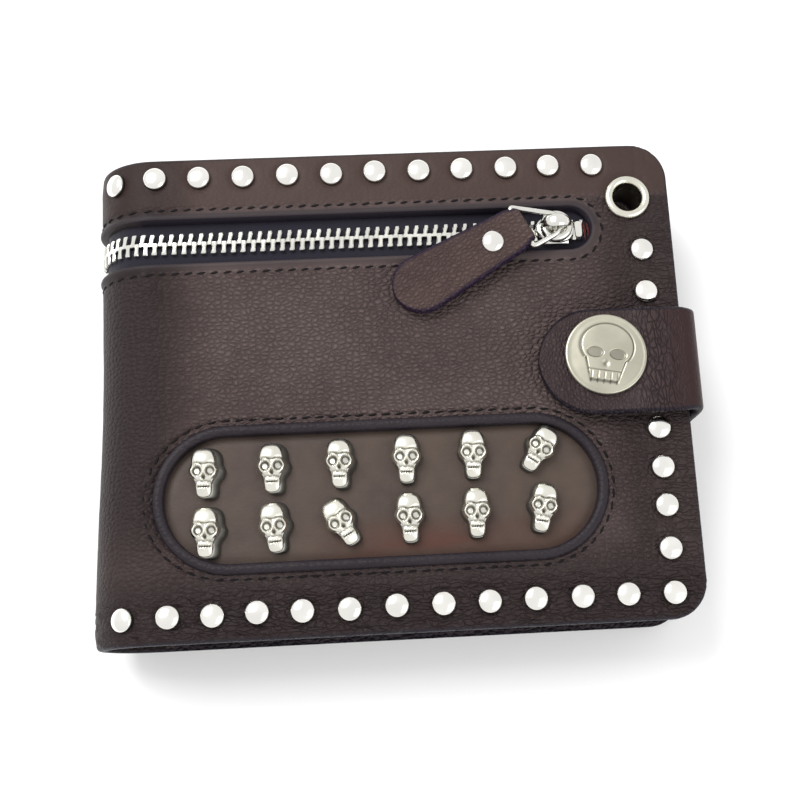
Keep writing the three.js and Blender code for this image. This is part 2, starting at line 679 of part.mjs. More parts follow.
const capSeat = flapTop + REST_GAP;
add('snap_cap', lathe([[0, 26.8], [SNAP.stem, 26.8], [SNAP.stem, capSeat], [SNAP.cap, capSeat],
  [SNAP.cap, capSeat + 0.5], [SNAP.cap * 0.9, capSeat + 1.1], [SNAP.cap * 0.5, capSeat + 1.5],
  [0, capSeat + 1.6]], 24), agedNickel);
add('snap_socket', lathe([[2.3, 24.7], [SNAP.socket - 0.6, 24.7], [SNAP.socket, 25.1],
  [SNAP.socket, STRAP.flapZ - REST_GAP], [2.3, STRAP.flapZ - REST_GAP], [2.3, 24.7]], 20), agedNickel);
add('snap_stud', lathe([[0, THICK + REST_GAP], [5, THICK + REST_GAP], [5, 24.4], [1.4, 24.4], [1.4, 25.0],
  [SNAP.ball, 25.4], [1.2, 25.7], [0, 25.8]], 16), agedNickel);
add('snap_post', lathe([[0, 21.0], [4, 21.0], [4, 21.5], [SNAP.stem, 21.5], [SNAP.stem, THICK - 0.1],
  [0, THICK - 0.1]], 16), agedNickel);

export default wallet;
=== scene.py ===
"""Looks of a studded leather chain wallet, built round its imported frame.

Lengths are in millimetres until a mesh is made. Flat leather coordinates are (s, y): s runs over
the front cover from the fold's tangent line, is negative round the fold, and goes on over the back.
"""

import math

import bmesh
import bpy
import numpy as np
from mathutils import Matrix, Vector
from mathutils import geometry as flat_geometry


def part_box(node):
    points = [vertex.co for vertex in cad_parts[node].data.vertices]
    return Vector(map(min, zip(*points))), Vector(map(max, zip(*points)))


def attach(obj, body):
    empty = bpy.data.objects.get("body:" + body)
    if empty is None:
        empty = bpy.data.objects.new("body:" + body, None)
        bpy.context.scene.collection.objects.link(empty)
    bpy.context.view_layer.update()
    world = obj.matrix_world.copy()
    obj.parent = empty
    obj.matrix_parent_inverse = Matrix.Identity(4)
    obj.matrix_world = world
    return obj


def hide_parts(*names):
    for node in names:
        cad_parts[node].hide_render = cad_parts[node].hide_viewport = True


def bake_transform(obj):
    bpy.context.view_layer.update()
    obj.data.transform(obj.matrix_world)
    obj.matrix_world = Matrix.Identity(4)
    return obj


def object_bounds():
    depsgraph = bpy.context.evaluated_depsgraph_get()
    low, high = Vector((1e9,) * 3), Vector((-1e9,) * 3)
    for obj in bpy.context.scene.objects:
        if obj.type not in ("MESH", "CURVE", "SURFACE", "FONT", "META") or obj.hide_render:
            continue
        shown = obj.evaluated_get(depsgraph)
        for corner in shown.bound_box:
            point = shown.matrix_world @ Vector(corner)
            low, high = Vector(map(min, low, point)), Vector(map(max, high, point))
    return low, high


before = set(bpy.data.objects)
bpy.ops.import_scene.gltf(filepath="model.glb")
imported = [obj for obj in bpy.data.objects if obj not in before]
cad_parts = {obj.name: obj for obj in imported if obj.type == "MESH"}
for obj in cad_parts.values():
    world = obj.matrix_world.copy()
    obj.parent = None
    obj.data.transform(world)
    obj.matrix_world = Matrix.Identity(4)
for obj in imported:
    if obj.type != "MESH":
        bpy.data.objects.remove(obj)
cad_box = [list(c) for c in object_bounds()]

MM = 0.001
rng = np.random.RandomState(7)


def box_mm(node):
    """Lowest and highest corner of a CAD node in millimetres."""
    low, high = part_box(node)
    return np.array(low) / MM, np.array(high) / MM


def centre_mm(node):
    low, high = box_mm(node)
    return (low + high) / 2


# ---- sizes, from the frame where a CAD node gives them ----
RIGHT, TOP, THICK = box_mm("front_cover")[1]
LEFT = cad_box[0][0] / MM
R = THICK / 2  # outer radius of the fold
FOLD_X = LEFT + R  # the fold's tangent line
HALF_TURN = math.pi * R
LEATHER = 2.2
FLARE = 1.9  # how far the fold's lower end spreads to the left
LOW_EDGE = TOP + 0.8
CORNER = 7.5
SLOT_Y = centre_mm("zip_back")[1]
SLOT_R = 4.35
SLOT_END = 40.8
BACK_SLOT_END = box_mm("zip_back")[1][0] + 0.3
SEAM = math.radians(14) * R  # the front cover's own piece ends this far round the fold
WINDOW = centre_mm("window_bead")
WINDOW_RUN = 30.0
WINDOW_R = 12.5
BEAD = 2.2
EYELET = centre_mm("eyelet")
SNAP = centre_mm("snap_cap")
STUD_R = 2.37
STUD_COLUMN_X = 51.05
ROW_Y = 44.4
STUD_PITCH = 9.0
FIRST_TOP_STUD_X = 42.15
LOWER_ROW_SHIFT = 3.0  # how far the lower row moves right where the fold flares
COLUMN_Y = [25.6, 16.5, -11.9, -19.7, -27.5, -35.8]
TOP_STUDS = [(FIRST_TOP_STUD_X - i * STUD_PITCH, ROW_Y) for i in range(12)]
RIGHT_STUDS = [(STUD_COLUMN_X, y) for y in COLUMN_Y]


# ---- small maths ----
def smooth(x, low, high):
    t = np.clip((x - low) / (high - low), 0, 1)
    return t * t * (3 - 2 * t)


def bell(value, centre, width):
    """A bell curve of height 1 about a centre."""
    return np.exp(-((value - centre) / width) ** 2)


def run_lengths(points):
    """The length of a polyline from its start up to each point."""
    return np.concatenate([[0], np.cumsum(np.linalg.norm(np.diff(points, axis=0), axis=1))])


lower_x = STUD_COLUMN_X - STUD_PITCH * np.arange(13)
BOTTOM_STUDS = [(x, -ROW_Y) for x in lower_x + LOWER_ROW_SHIFT * smooth(-lower_x, 25, 57)]
ALL_STUDS = TOP_STUDS + BOTTOM_STUDS + RIGHT_STUDS
NOISE_TABLE = rng.rand(256, 256)


def noise(x, y, shift=0):
    """Smooth value noise from 0 to 1 with one cell per unit."""
    x, y = np.asarray(x, float) + 17.3 * shift, np.asarray(y, float) + 5.7 * shift
    i, j = np.floor(x).astype(int), np.floor(y).astype(int)
    u, v = smooth(x - i, 0, 1), smooth(y - j, 0, 1)

    def at(a, b):
        return NOISE_TABLE[(i + a) % 256, (j + b) % 256]

    return (at(0, 0) * (1 - u) + at(1, 0) * u) * (1 - v) + (at(0, 1) * (1 - u) + at(1, 1) * u) * v


def fractal(x, y, shift=0):
    return (noise(x, y, shift) + 0.5 * noise(2.1 * x, 2.1 * y, shift + 3)
            + 0.25 * noise(4.3 * x, 4.3 * y, shift + 6)) / 1.75


def on_surface(s, y, h):
    """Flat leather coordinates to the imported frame; h is the height above the outer surface."""
    s, y, h = np.broadcast_arrays(np.asarray(s, float), np.asarray(y, float), np.asarray(h, float))
    turn = np.clip(-s / R, 0, math.pi)
    past = np.maximum(-s - HALF_TURN, 0)
    x = FOLD_X + np.maximum(s, 0) + past - (R + h) * np.sin(turn)
    x = x - FLARE * smooth(-y, -8, TOP) * smooth(-x, -FOLD_X - 22, -LEFT)
    return np.stack([x, y, np.maximum(R + (R + h) * np.cos(turn), 0)], -1)


def surface_frame(s, y, h=0.0):
    """A 4x4 matrix whose X runs along s, Y along y and Z out of the leather."""
    spot = on_surface(s, y, h)
    turn = min(max(-s / R, 0), math.pi)
    m = Matrix.Rotation(-turn, 4, "Y")
    m.translation = Vector(spot)
    return np.array(m)


def moved(points, matrix):
    m = np.array(matrix)
    return points @ m[:3, :3].T + m[:3, 3]


# ---- meshes ----
FLAT_UNIT = 100  # millimetres of leather per unit of the "flat" map


class Shape:
    """Points, faces, flat coordinates and painted values gathered into one mesh."""

    def __init__(self):
        self.points, self.faces, self.flat, self.paint = [], [], [], {}
        self.count = 0

    def add(self, points, faces, flat=None, **paint):
        points = np.asarray(points, float)
        n = len(points)
        self.faces += [tuple(i + self.count for i in f) for f in faces]
        self.points.append(points)
        self.flat.append(points[:, :2] if flat is None else np.asarray(flat, float))
        for key in set(self.paint) | set(paint):
            before = self.paint.get(key, np.zeros(self.count))
            values = np.broadcast_to(np.asarray(paint.get(key, 0.0), float), (n,))
            self.paint[key] = np.concatenate([before, values])
        self.count += n
        return self

    def build(self, name, material, slot, angle=42):
        points = np.concatenate(self.points) * MM
        mesh = bpy.data.meshes.new(name)
        mesh.from_pydata(points.tolist(), [], self.faces)
        mesh.validate()
        bm = bmesh.new()
        bm.from_mesh(mesh)
        bmesh.ops.recalc_face_normals(bm, faces=bm.faces)
        bm.to_mesh(mesh)
        bm.free()
        corners = np.zeros(len(mesh.loops), np.int32)
        mesh.loops.foreach_get("vertex_index", corners)
        layer = mesh.uv_layers.new(name="flat")
        flat = np.concatenate(self.flat)[corners] / FLAT_UNIT
        layer.data.foreach_set("uv", flat.astype(np.float32).ravel())
        for key, values in self.paint.items():
            attribute = mesh.attributes.new(key, "FLOAT", "POINT")
            attribute.data.foreach_set("value", values.astype(np.float32))
        mesh.shade_smooth()
        mesh.set_sharp_from_angle(angle=math.radians(angle))
        mesh.materials.append(material)
        piece = bpy.data.objects.new(name, mesh)
        bpy.context.scene.collection.objects.link(piece)
        return piece


def show(shape, name, material, slot, body, nodes=(), angle=42):
    """Build one piece that rides a body and stands for the named CAD nodes."""
    piece = shape.build(name, material, slot, angle)
    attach(piece, body)
    if nodes:
        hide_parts(*nodes)
    return piece


def rings_to_faces(rows, columns, closed=True, capped=False, looped=False):
    """Quads between successive rings of the same number of points.

    closed joins the ends of each ring, capped fills the first and last ring, and looped joins the
    last ring to the first.
    """
    faces = []
    wide = columns if closed else columns - 1
    for i in range(rows if looped else rows - 1):
        a, b = i * columns, (i + 1) % rows * columns
        for j in range(wide):
            k = (j + 1) % columns
            faces.append((a + j, a + k, b + k, b + j))
    if capped:
        faces.append(tuple(range(columns))[::-1])
        faces.append(tuple((rows - 1) * columns + j for j in range(columns)))
    return faces


def domed_faces(rows, columns):
    """Faces for a centre point followed by rings: a fan, quads and a flat base."""
    faces = [(0, 1 + j, 1 + (j + 1) % columns) for j in range(columns)]
    faces += [tuple(i + 1 for i in f) for f in rings_to_faces(rows, columns)]
    faces.append(tuple(1 + (rows - 1) * columns + j for j in range(columns))[::-1])
    return faces


def loft(shape, rows):
    """Add a solid through rings of points, flat at both ends."""
    return shape.add(np.concatenate(rows), rings_to_faces(len(rows), len(rows[0]), capped=True))


def squared_oval(half_x, half_y, power, count):
    """The x and y of a loop between an ellipse and a rectangle; a lower power is squarer."""
    t = np.linspace(0, 2 * math.pi, count, endpoint=False)
    c, s = np.cos(t), np.sin(t)
    return half_x * np.sign(c) * np.abs(c) ** power, half_y * np.sign(s) * np.abs(s) ** power


def lathe(profile, sides=40, closed=False):
    """A profile of (radius, z) turned about Z. Ends on the axis are closed with a fan."""
    angles = np.linspace(0, 2 * math.pi, sides, endpoint=False)
    points, rows = [], []
    for radius, z in profile:
        rows.append((len(points), radius > 1e-6))
        if radius > 1e-6:
            points += [(radius * math.cos(a), radius * math.sin(a), z) for a in angles]
        else:
            points.append((0, 0, z))
    faces = []
    pairs = list(zip(rows, rows[1:] + rows[:1] if closed else rows[1:]))
    for (a, wide_a), (b, wide_b) in pairs:
        for j in range(sides):
            k = (j + 1) % sides
            if wide_a and wide_b:
                faces.append((a + j, a + k, b + k, b + j))
            elif wide_a:
                faces.append((a + j, a + k, b))
            elif wide_b:
                faces.append((a, b + k, b + j))
    return np.array(points, float), faces


def tube(path, radius, sides, closed=True, squash=1.0):
    """A wire along a path of points."""
    path = np.asarray(path, float)
    n = len(path)
    if closed:
        along = np.roll(path, -1, 0) - np.roll(path, 1, 0)
    else:
        along = np.gradient(path, axis=0)
    along /= np.linalg.norm(along, axis=1)[:, None]
    up = np.array([0, 0, 1.0])
    side = np.cross(along, up)
    side /= np.maximum(np.linalg.norm(side, axis=1), 1e-9)[:, None]
    over = np.cross(side, along)
    radius = np.broadcast_to(np.asarray(radius, float), (n,))
    points = []
    for i in range(n):
        for k in range(sides):
            a = 2 * math.pi * k / sides
            points.append(path[i] + radius[i] * (math.cos(a) * side[i] + squash * math.sin(a) * over[i]))
    return np.array(points), rings_to_faces(n, sides, capped=not closed, looped=closed)


def along_line(points, step):
    """A polyline resampled at about one step."""
    points = np.asarray(points, float)
    lengths = run_lengths(points)
    n = max(2, int(round(lengths[-1] / step)) + 1)
    t = np.linspace(0, lengths[-1], n)
    return np.stack([np.interp(t, lengths, points[:, k]) for k in range(points.shape[1])], -1)


def arc(cx, cy, radius, start, end, step=0.5):
    n = max(3, int(abs(math.radians(end - start)) * radius / step) + 1)
    a = np.radians(np.linspace(start, end, n))
    return np.stack([cx + radius * np.cos(a), cy + radius * np.sin(a)], -1)


# ---- plates of leather or cloth with rounded edges ----
FAR_AWAY = 99.0


class Wing:
    """A plate's plan: square at the fold, rounded at the free corners, with optional openings."""

    def __init__(self, x0, x1, y0, y1, corner, holes=(), slot=None, seam=False):
        self.x0, self.x1, self.y0, self.y1, self.corner = x0, x1, y0, y1, corner
        self.holes, self.slot, self.seam = list(holes), slot, seam

    def outer(self, x, y):
        """Distance inwards from the free edges."""
        c = self.corner
        mid, half = (self.y0 + self.y1) / 2, (self.y1 - self.y0) / 2
        qx, qy = x - (self.x1 - c), np.abs(y - mid) - (half - c)
        straight = np.minimum(self.x1 - x, half - np.abs(y - mid))
        e = np.where((qx > 0) & (qy > 0), c - np.hypot(qx, qy), straight)
        return e if self.seam else np.minimum(e, x - self.x0)

    def slot_distance(self, x, y):
        if self.slot is None:
            return np.full(np.shape(x), FAR_AWAY)
        end = self.slot - SLOT_R
        return np.hypot(np.maximum(x - end, 0), y - SLOT_Y) - SLOT_R

    def edge(self, x, y):
        e = np.minimum(self.outer(x, y), self.slot_distance(x, y))
        for hole in self.holes:
            e = np.minimum(e, hole_distance(hole, x, y))
        return e

    def inside(self, x, y):
        return np.minimum(self.edge(x, y), x - self.x0) if self.seam else self.edge(x, y)

    def free_edges(self, o, step):
        """The lower, free and upper edges with their round corners, a distance o inside."""
        c = max(self.corner - o, 0.05)
        cx, low, high = self.x1 - self.corner, self.y0 + self.corner, self.y1 - self.corner
        start = self.x0 if self.seam else self.x0 + o
        return [along_line([(start, self.y0 + o), (cx, self.y0 + o)], step),
                arc(cx, low, c, -90, 0, step),
                along_line([(self.x1 - o, low), (self.x1 - o, high)], step),
                arc(cx, high, c, 0, 90, step),
                along_line([(cx, self.y1 - o), (start, self.y1 - o)], step)]

    def curves(self, o, step):
        """Lines at a distance o inside each edge."""
        lines = self.free_edges(o, step)
        if not self.seam:
            start = self.x0 + o
            lines.append(along_line([(start, self.y1 - o), (start, self.y0 + o)], step))
        if self.slot is not None:
            end, r = self.slot - SLOT_R, SLOT_R + o
            lines += [along_line([(self.x0, SLOT_Y - r), (end, SLOT_Y - r)], step),
                      arc(end, SLOT_Y, r, -90, 90, step),
                      along_line([(end, SLOT_Y + r), (self.x0, SLOT_Y + r)], step)]
        lines += [hole_line(hole, o, step) for hole in self.holes]
        return lines

    def loops(self, step, seam_rows=None):
        """The closed border and the border of each opening."""
        parts = self.free_edges(0, step)
        if self.slot is not None:
            end = self.slot - SLOT_R
            rows_low, rows_high = seam_rows
            parts += [np.stack([np.full(len(rows_high), self.x0), rows_high[::-1]], -1),
                      along_line([(self.x0, SLOT_Y + SLOT_R), (end, SLOT_Y + SLOT_R)], step),
                      arc(end, SLOT_Y, SLOT_R, 90, -90, step),
                      along_line([(end, SLOT_Y - SLOT_R), (self.x0, SLOT_Y - SLOT_R)], step),
                      np.stack([np.full(len(rows_low), self.x0), rows_low[::-1]], -1)]
        else:
            parts.append(along_line([(self.x0, self.y1), (self.x0, self.y0)], step))
        outline = np.concatenate([p[:-1] for p in parts])
        return [outline] + [hole_line(hole, 0, step)[:-1] for hole in self.holes]


def hole_distance(hole, x, y):
    cx, cy, run, r = hole
    return np.hypot(np.maximum(np.abs(x - cx) - run, 0), y - cy) - r


def hole_line(hole, o, step):
    cx, cy, run, r = hole
    if run == 0:
        return arc(cx, cy, r + o, 0, 360, step)
    right, left = arc(cx + run, cy, r + o, -90, 90, step), arc(cx - run, cy, r + o, 90, 270, step)
    upper = along_line([right[-1], left[0]], step)[1:-1]
    lower = along_line([left[-1], right[0]], step)[1:]
    return np.concatenate([right, upper, left, lower])


def triangulate(points, loops, inside):
    """Triangles over points whose first ones are closed loops; loops gives the size of each."""
    edges = []
    start = 0
    for n in loops:
        edges += [(start + i, start + (i + 1) % n) for i in range(n)]
        start += n
    out = flat_geometry.delaunay_2d_cdt([Vector(p) for p in points], edges, [], 0, 1e-7)
    source = [o[0] if o else -1 for o in out[3]]
    faces = np.array([f for f in out[2] if len(f) == 3])
    middle = np.array([out[0][i][:] for i in range(len(out[0]))])[faces].mean(1)
    keep = faces[inside(middle[:, 0], middle[:, 1]) > 0]
    return [tuple(source[i] for i in f) for f in keep.tolist() if all(source[i] >= 0 for i in f)]


RINGS = (0.15, 0.4, 0.75, 1.2, 1.7, 2.2)


def inner_points(plan, spacing, step, rings):
    """Points on lines that follow the edges and on a grid further in, and a few of the grid's."""
    extra = []
    for o in rings:
        for line in plan.curves(o, step):
            extra.append(line[plan.inside(line[:, 0], line[:, 1]) > o - 0.03])
    xs, ys = np.arange(plan.x0, plan.x1, spacing), np.arange(plan.y0, plan.y1, spacing * 0.87)
    gx, gy = np.meshgrid(xs, ys)
    gx = gx + (np.arange(gx.shape[0]) % 2)[:, None] * spacing / 2
    grid = np.stack([gx.ravel(), gy.ravel()], -1)
    depth = plan.inside(grid[:, 0], grid[:, 1])
    extra.append(grid[depth > rings[-1] + 0.45 * spacing])
    extra = np.concatenate(extra)
    _, unique = np.unique(np.round(extra, 2), axis=0, return_index=True)
    return extra[np.sort(unique)], grid[depth > 3.0][::23]


def plate(shape, plan, top, bottom, place, spacing, step=0.5, rings=RINGS, seam_rows=None, flat=None,
          paint=None):
    """A closed plate over a plan. top and bottom give heights from (x, y); place maps to the frame."""
    loops = plan.loops(step, seam_rows)
    border = np.concatenate(loops)
    extra, few = inner_points(plan, spacing, step, rings)
    upper, lower = np.concatenate([border, extra]), np.concatenate([border, few])
    sizes = [len(loop) for loop in loops]
    n = len(upper)
    faces = triangulate(upper, sizes, plan.inside)
    faces += [tuple(i + n for i in f[::-1]) for f in triangulate(lower, sizes, plan.inside)]
    start = 0
    for size in sizes:
        for i in range(size):
            a, b = start + i, start + (i + 1) % size
            faces.append((a, a + n, b + n, b))
        start += size
    both = np.concatenate([upper, lower])
    x, y = both[:, 0], both[:, 1]
    h = np.concatenate([top(x[:n], y[:n]), bottom(x[n:], y[n:])])
    values = {k: np.asarray(v, float) for k, v in (paint(x, y) if paint else {}).items()}
    e = plan.edge(x, y)
    above = np.arange(len(x)) < n
    values["edge"] = np.where(above, 1 - smooth(e, 0.1, 0.8), 1 - smooth(e, 0.3, 1.5))
    shape.add(place(x, y, h), faces, flat(x, y) if flat else both, **values)
    return shape


def rounded(e, r):
    """Fall of a rounded edge of radius r at a distance e inside it."""
    e = np.clip(e, 0, r)
    return -(r - np.sqrt(np.maximum(r * r - (r - e) ** 2, 0)))


# ---- materials ----
EDGE_PAINT = (0.016, 0.013, 0.02)
# painted shade: the dark colour the outer leather is shaded towards by its 'shade' attribute
PAINTED_SHADE = (0.0095, 0.0042, 0.005)
SLOT_BEAD_DYE = (0.028, 0.022, 0.025)
METAL_WEAR = 0.06  # how far a metal's roughness wanders


def node(tree, kind, inputs=None, **settings):
    made = tree.nodes.new("ShaderNode" + kind)
    for key, value in settings.items():
        setattr(made, key, value)
    for key, value in (inputs or {}).items():
        if isinstance(value, bpy.types.NodeSocket):
            tree.links.new(value, made.inputs[key])
        else:
            made.inputs[key].default_value = value
    return made


def maths(tree, operation, a, b=0.5, clamp=False):
    return node(tree, "Math", {0: a, 1: b}, operation=operation, use_clamp=clamp).outputs[0]


def times(tree, a, b):
    return maths(tree, "MULTIPLY", a, b)


def add_bump(tree, shader, height, strength, distance):
    bump = node(tree, "Bump", {"Height": height, "Strength": strength, "Distance": distance}).outputs[0]
    tree.links.new(bump, shader.inputs["Normal"])


def remap(tree, value, low, high, to_low=0.0, to_high=1.0):
    return node(tree, "MapRange", {"Value": value, "From Min": low, "From Max": high, "To Min": to_low,
                                   "To Max": to_high}, clamp=True).outputs[0]


def mix_colour(tree, factor, a, b, blend="MIX"):
    made = node(tree, "Mix", data_type="RGBA", blend_type=blend)
    for index, value in ((0, factor), (6, a), (7, b)):
        if isinstance(value, bpy.types.NodeSocket):
            tree.links.new(value, made.inputs[index])
        else:
            made.inputs[index].default_value = value if index == 0 else (*value, 1)
    return made.outputs[2]


def painted(tree, name):
    return node(tree, "Attribute", attribute_name=name, attribute_type="GEOMETRY").outputs["Fac"]


def new_material(name, **bsdf):
    material = bpy.data.materials.new(name)
    material.use_nodes = True
    tree = material.node_tree
    shader = tree.nodes["Principled BSDF"]
    for key, value in bsdf.items():
        shader.inputs[key.replace("_", " ")].default_value = value
    return material, tree, shader


def flat_mm(tree, stretch=(1, 1, 1)):
    """The flat leather coordinates in millimetres."""
    uv = node(tree, "UVMap", uv_map="flat").outputs[0]
    scale = tuple(FLAT_UNIT * k for k in stretch)
    return node(tree, "VectorMath", {0: uv, 1: scale}, operation="MULTIPLY").outputs[0]


def warped(tree, where, scale, amount):
    cloud = node(tree, "TexNoise", {"Vector": where, "Scale": scale, "Detail": 2.0}).outputs["Color"]
    centred = node(tree, "VectorMath", {0: cloud, 1: (0.5, 0.5, 0.5)}, operation="SUBTRACT").outputs[0]
    sized = node(tree, "VectorMath", {0: centred, 1: (amount, amount, 0)}, operation="MULTIPLY").outputs[0]
    return node(tree, "VectorMath", {0: where, 1: sized}, operation="ADD").outputs[0]


def clouds(tree, where, scale, **settings):
    inputs = {"Vector": where, "Scale": scale, "Detail": 3.0, **settings}
    return node(tree, "TexNoise", inputs).outputs["Fac"]


def cells(tree, inputs, feature):
    return node(tree, "TexVoronoi", inputs, feature=feature, voronoi_dimensions="2D").outputs["Distance"]


def inverse(tree, value):
    return maths(tree, "SUBTRACT", 1.0, value, clamp=True)


def leather_pattern(tree, cell):
    """The pebbles' domes and creases, and the wrinkles of crinkled areas."""
    loose = warped(tree, flat_mm(tree, (0.78, 1.1, 1)), 0.45, 0.9)
    pebbles = {"Vector": loose, "Scale": cell, "Randomness": 0.9}
    domes = cells(tree, {**pebbles, "Smoothness": 0.5}, "SMOOTH_F1")
    crease = remap(tree, cells(tree, pebbles, "DISTANCE_TO_EDGE"), 0.0, 0.3)
    drawn = warped(tree, flat_mm(tree, (0.45, 1, 1)), 0.6, 2.2)
    wrinkles = {"Vector": drawn, "Scale": 1.15, "Randomness": 1.0}
    return domes, crease, remap(tree, cells(tree, wrinkles, "DISTANCE_TO_EDGE"), 0.0, 0.2)


def leather_colour(tree, light, dark, edge, warm, in_crease, in_fold):
    """Cloudy dye, then a warm tone and painted shade, painted shade in creases and wrinkles, the slot's bead
    and the painted edge.
    """
    where = flat_mm(tree)
    cloud, patch = clouds(tree, where, 0.05), clouds(tree, where, 0.35)
    base = mix_colour(tree, remap(tree, cloud, 0.35, 0.65), dark, light)
    base = mix_colour(tree, remap(tree, patch, 0.3, 0.8, 0.0, 0.35), base, tuple(1.25 * c for c in light))
    # the 'warm' colour: painted shade on the outer leather's top band and fold and on the strap's bends; on
    # the inset, a real reddish patch
    if warm:
        base = mix_colour(tree, painted(tree, "warm"), base, warm)
    # painted shade: where the 'shade' attribute is set, the colour darkens as if the leather were less lit
    base = mix_colour(tree, painted(tree, "shade"), base, PAINTED_SHADE)
    # painted shade in the pebbles' creases and in the wrinkles of crinkled areas
    crease_shade = tuple(0.42 * c for c in dark)
    base = mix_colour(tree, in_crease, base, crease_shade)
    base = mix_colour(tree, in_fold, base, crease_shade)
    base = mix_colour(tree, painted(tree, "bead"), base, SLOT_BEAD_DYE)
    return mix_colour(tree, painted(tree, "edge"), base, edge)


def leather(name, light, dark, edge=EDGE_PAINT, cell=1.0, pebble=1.0, rough=0.46, warm=None):
    """Dyed leather with pebbled, smooth and crinkled areas and a painted edge."""
    material, tree, shader = new_material(name, Specular_IOR_Level=0.17)
    domes, crease, fold = leather_pattern(tree, cell)
    fine = clouds(tree, flat_mm(tree), 5.5, Detail=4.0, Roughness=0.6)
    crinkled = painted(tree, "crinkle")
    grain = times(tree, inverse(tree, painted(tree, "smooth")), pebble)
    grain = times(tree, grain, inverse(tree, crinkled))
    bump_pebble = times(tree, maths(tree, "SUBTRACT", crease, times(tree, domes, 2.2)), grain)
    bump_fold = times(tree, fold, times(tree, crinkled, 1.2))
    height = maths(tree, "ADD", maths(tree, "ADD", bump_pebble, bump_fold), times(tree, fine, 0.22))
    add_bump(tree, shader, height, 0.9, 0.00026)
    # how strongly painted shade darkens the creases and the wrinkles
    in_crease = times(tree, inverse(tree, crease), times(tree, grain, 0.42))
    in_fold = times(tree, inverse(tree, fold), times(tree, crinkled, 0.7))
    base = leather_colour(tree, light, dark, edge, warm, in_crease, in_fold)
    tree.links.new(base, shader.inputs["Base Color"])
    tone = remap(tree, fine, 0.3, 0.7, rough - 0.06, rough + 0.1)
    tone = maths(tree, "ADD", tone, times(tree, in_crease, 0.2))
    tree.links.new(tone, shader.inputs["Roughness"])
    return material


def metal(name, colour, rough, dark=None):
    """Plated metal with fine wear; painted 'dark' areas are antique patina in hollows and painted shade
    elsewhere.
    """
    material, tree, shader = new_material(name, Metallic=1.0)
    where = node(tree, "TexCoord").outputs["Object"]
    fine = clouds(tree, where, 2500.0)
    wide = clouds(tree, where, 160.0)
    base = mix_colour(tree, remap(tree, wide, 0.35, 0.65), tuple(0.9 * c for c in colour), colour)
    tone = remap(tree, wide, 0.3, 0.7, rough - METAL_WEAR, rough + METAL_WEAR)
    if dark:
        # the 'dark' attribute: patina in the skulls' and the cap's hollows, painted shade at stud feet, skull
        # walls, the cap's rim and inside the eyelet
        patina_and_shade = painted(tree, "dark")
        base = mix_colour(tree, patina_and_shade, base, dark)
        tone = maths(tree, "ADD", tone, times(tree, patina_and_shade, 0.3))
    tree.links.new(base, shader.inputs["Base Color"])
    tree.links.new(tone, shader.inputs["Roughness"])
    add_bump(tree, shader, fine, 0.25, 0.00002)
    return material


def cloth(name, colour, across, along, rough=0.85, sheen=0.3):
    """Woven cloth: ribs across and threads along."""
    material, tree, shader = new_material(name, Specular_IOR_Level=0.18, Sheen_Weight=sheen,
                                          Sheen_Roughness=0.4)
    where = flat_mm(tree)
    parts = node(tree, "SeparateXYZ", {0: where})
    weft = maths(tree, "SINE", times(tree, parts.outputs[0], 2 * math.pi * across))
    warp = maths(tree, "SINE", times(tree, parts.outputs[1], 2 * math.pi * along))
    weave = times(tree, maths(tree, "ADD", times(tree, weft, warp), 1.0), 0.5)
    fuzz = clouds(tree, where, 4.0)
    add_bump(tree, shader, maths(tree, "ADD", weave, times(tree, fuzz, 0.4)), 0.7, 0.0001)
    base = mix_colour(tree, weave, tuple(0.55 * c for c in colour), tuple(1.3 * c for c in colour))
    base = mix_colour(tree, remap(tree, fuzz, 0.3, 0.7, 0.0, 0.4), base, tuple(0.7 * c for c in colour))
    tree.links.new(base, shader.inputs["Base Color"])
    tree.links.new(remap(tree, fuzz, 0.3, 0.7, rough - 0.08, rough + 0.08), shader.inputs["Roughness"])
    return material


outer_leather = leather("outer_leather", (0.098, 0.071, 0.067), (0.067, 0.047, 0.046),
                        warm=(0.043, 0.0245, 0.0195))
bead_leather = leather("bead_leather", (0.023, 0.018, 0.022), (0.016, 0.012, 0.016), pebble=0.12, rough=0.36)
inset_leather = leather("inset_leather", (0.078, 0.056, 0.045), (0.056, 0.04, 0.034), pebble=0.06, rough=0.34,
                        warm=(0.08, 0.03, 0.02))
strap_leather = leather("strap_leather", (0.066, 0.044, 0.043), (0.042, 0.027, 0.028), (0.014, 0.01, 0.015),
                        cell=1.25, pebble=0.75, rough=0.42, warm=(0.031, 0.013, 0.012))
tab_leather = leather("tab_leather", (0.086, 0.056, 0.05), (0.058, 0.037, 0.035), (0.022, 0.012, 0.028),
                      cell=1.1, pebble=0.85, rough=0.44)
inner_leather = leather("inner_leather", (0.05, 0.034, 0.032), (0.036, 0.024, 0.024), cell=1.6, pebble=0.4,
                        rough=0.66)
lining_cloth = cloth("lining_cloth", (0.02, 0.019, 0.023), 2.2, 2.2)
tape_cloth = cloth("tape_cloth", (0.022, 0.02, 0.03), 1.1, 2.6)
thread = cloth("thread", (0.004, 0.003, 0.004), 3.0, 0.4, rough=0.6, sheen=0.0)
red_thread = cloth("red_thread", (0.11, 0.016, 0.014), 3.0, 0.4, rough=0.7)
stud_metal = metal("stud_metal", (0.95, 0.93, 0.88), 0.16, dark=(0.03, 0.026, 0.026))
zip_metal = metal("zip_metal", (0.84, 0.83, 0.78), 0.17)
skull_metal = metal("skull_metal", (0.86, 0.84, 0.75), 0.24, dark=(0.03, 0.03, 0.03))
eyelet_metal = metal("eyelet_metal", (0.8, 0.78, 0.68), 0.2, dark=(0.05, 0.045, 0.04))
snap_metal = metal("snap_metal", (0.56, 0.54, 0.44), 0.33, dark=(0.1, 0.095, 0.08))


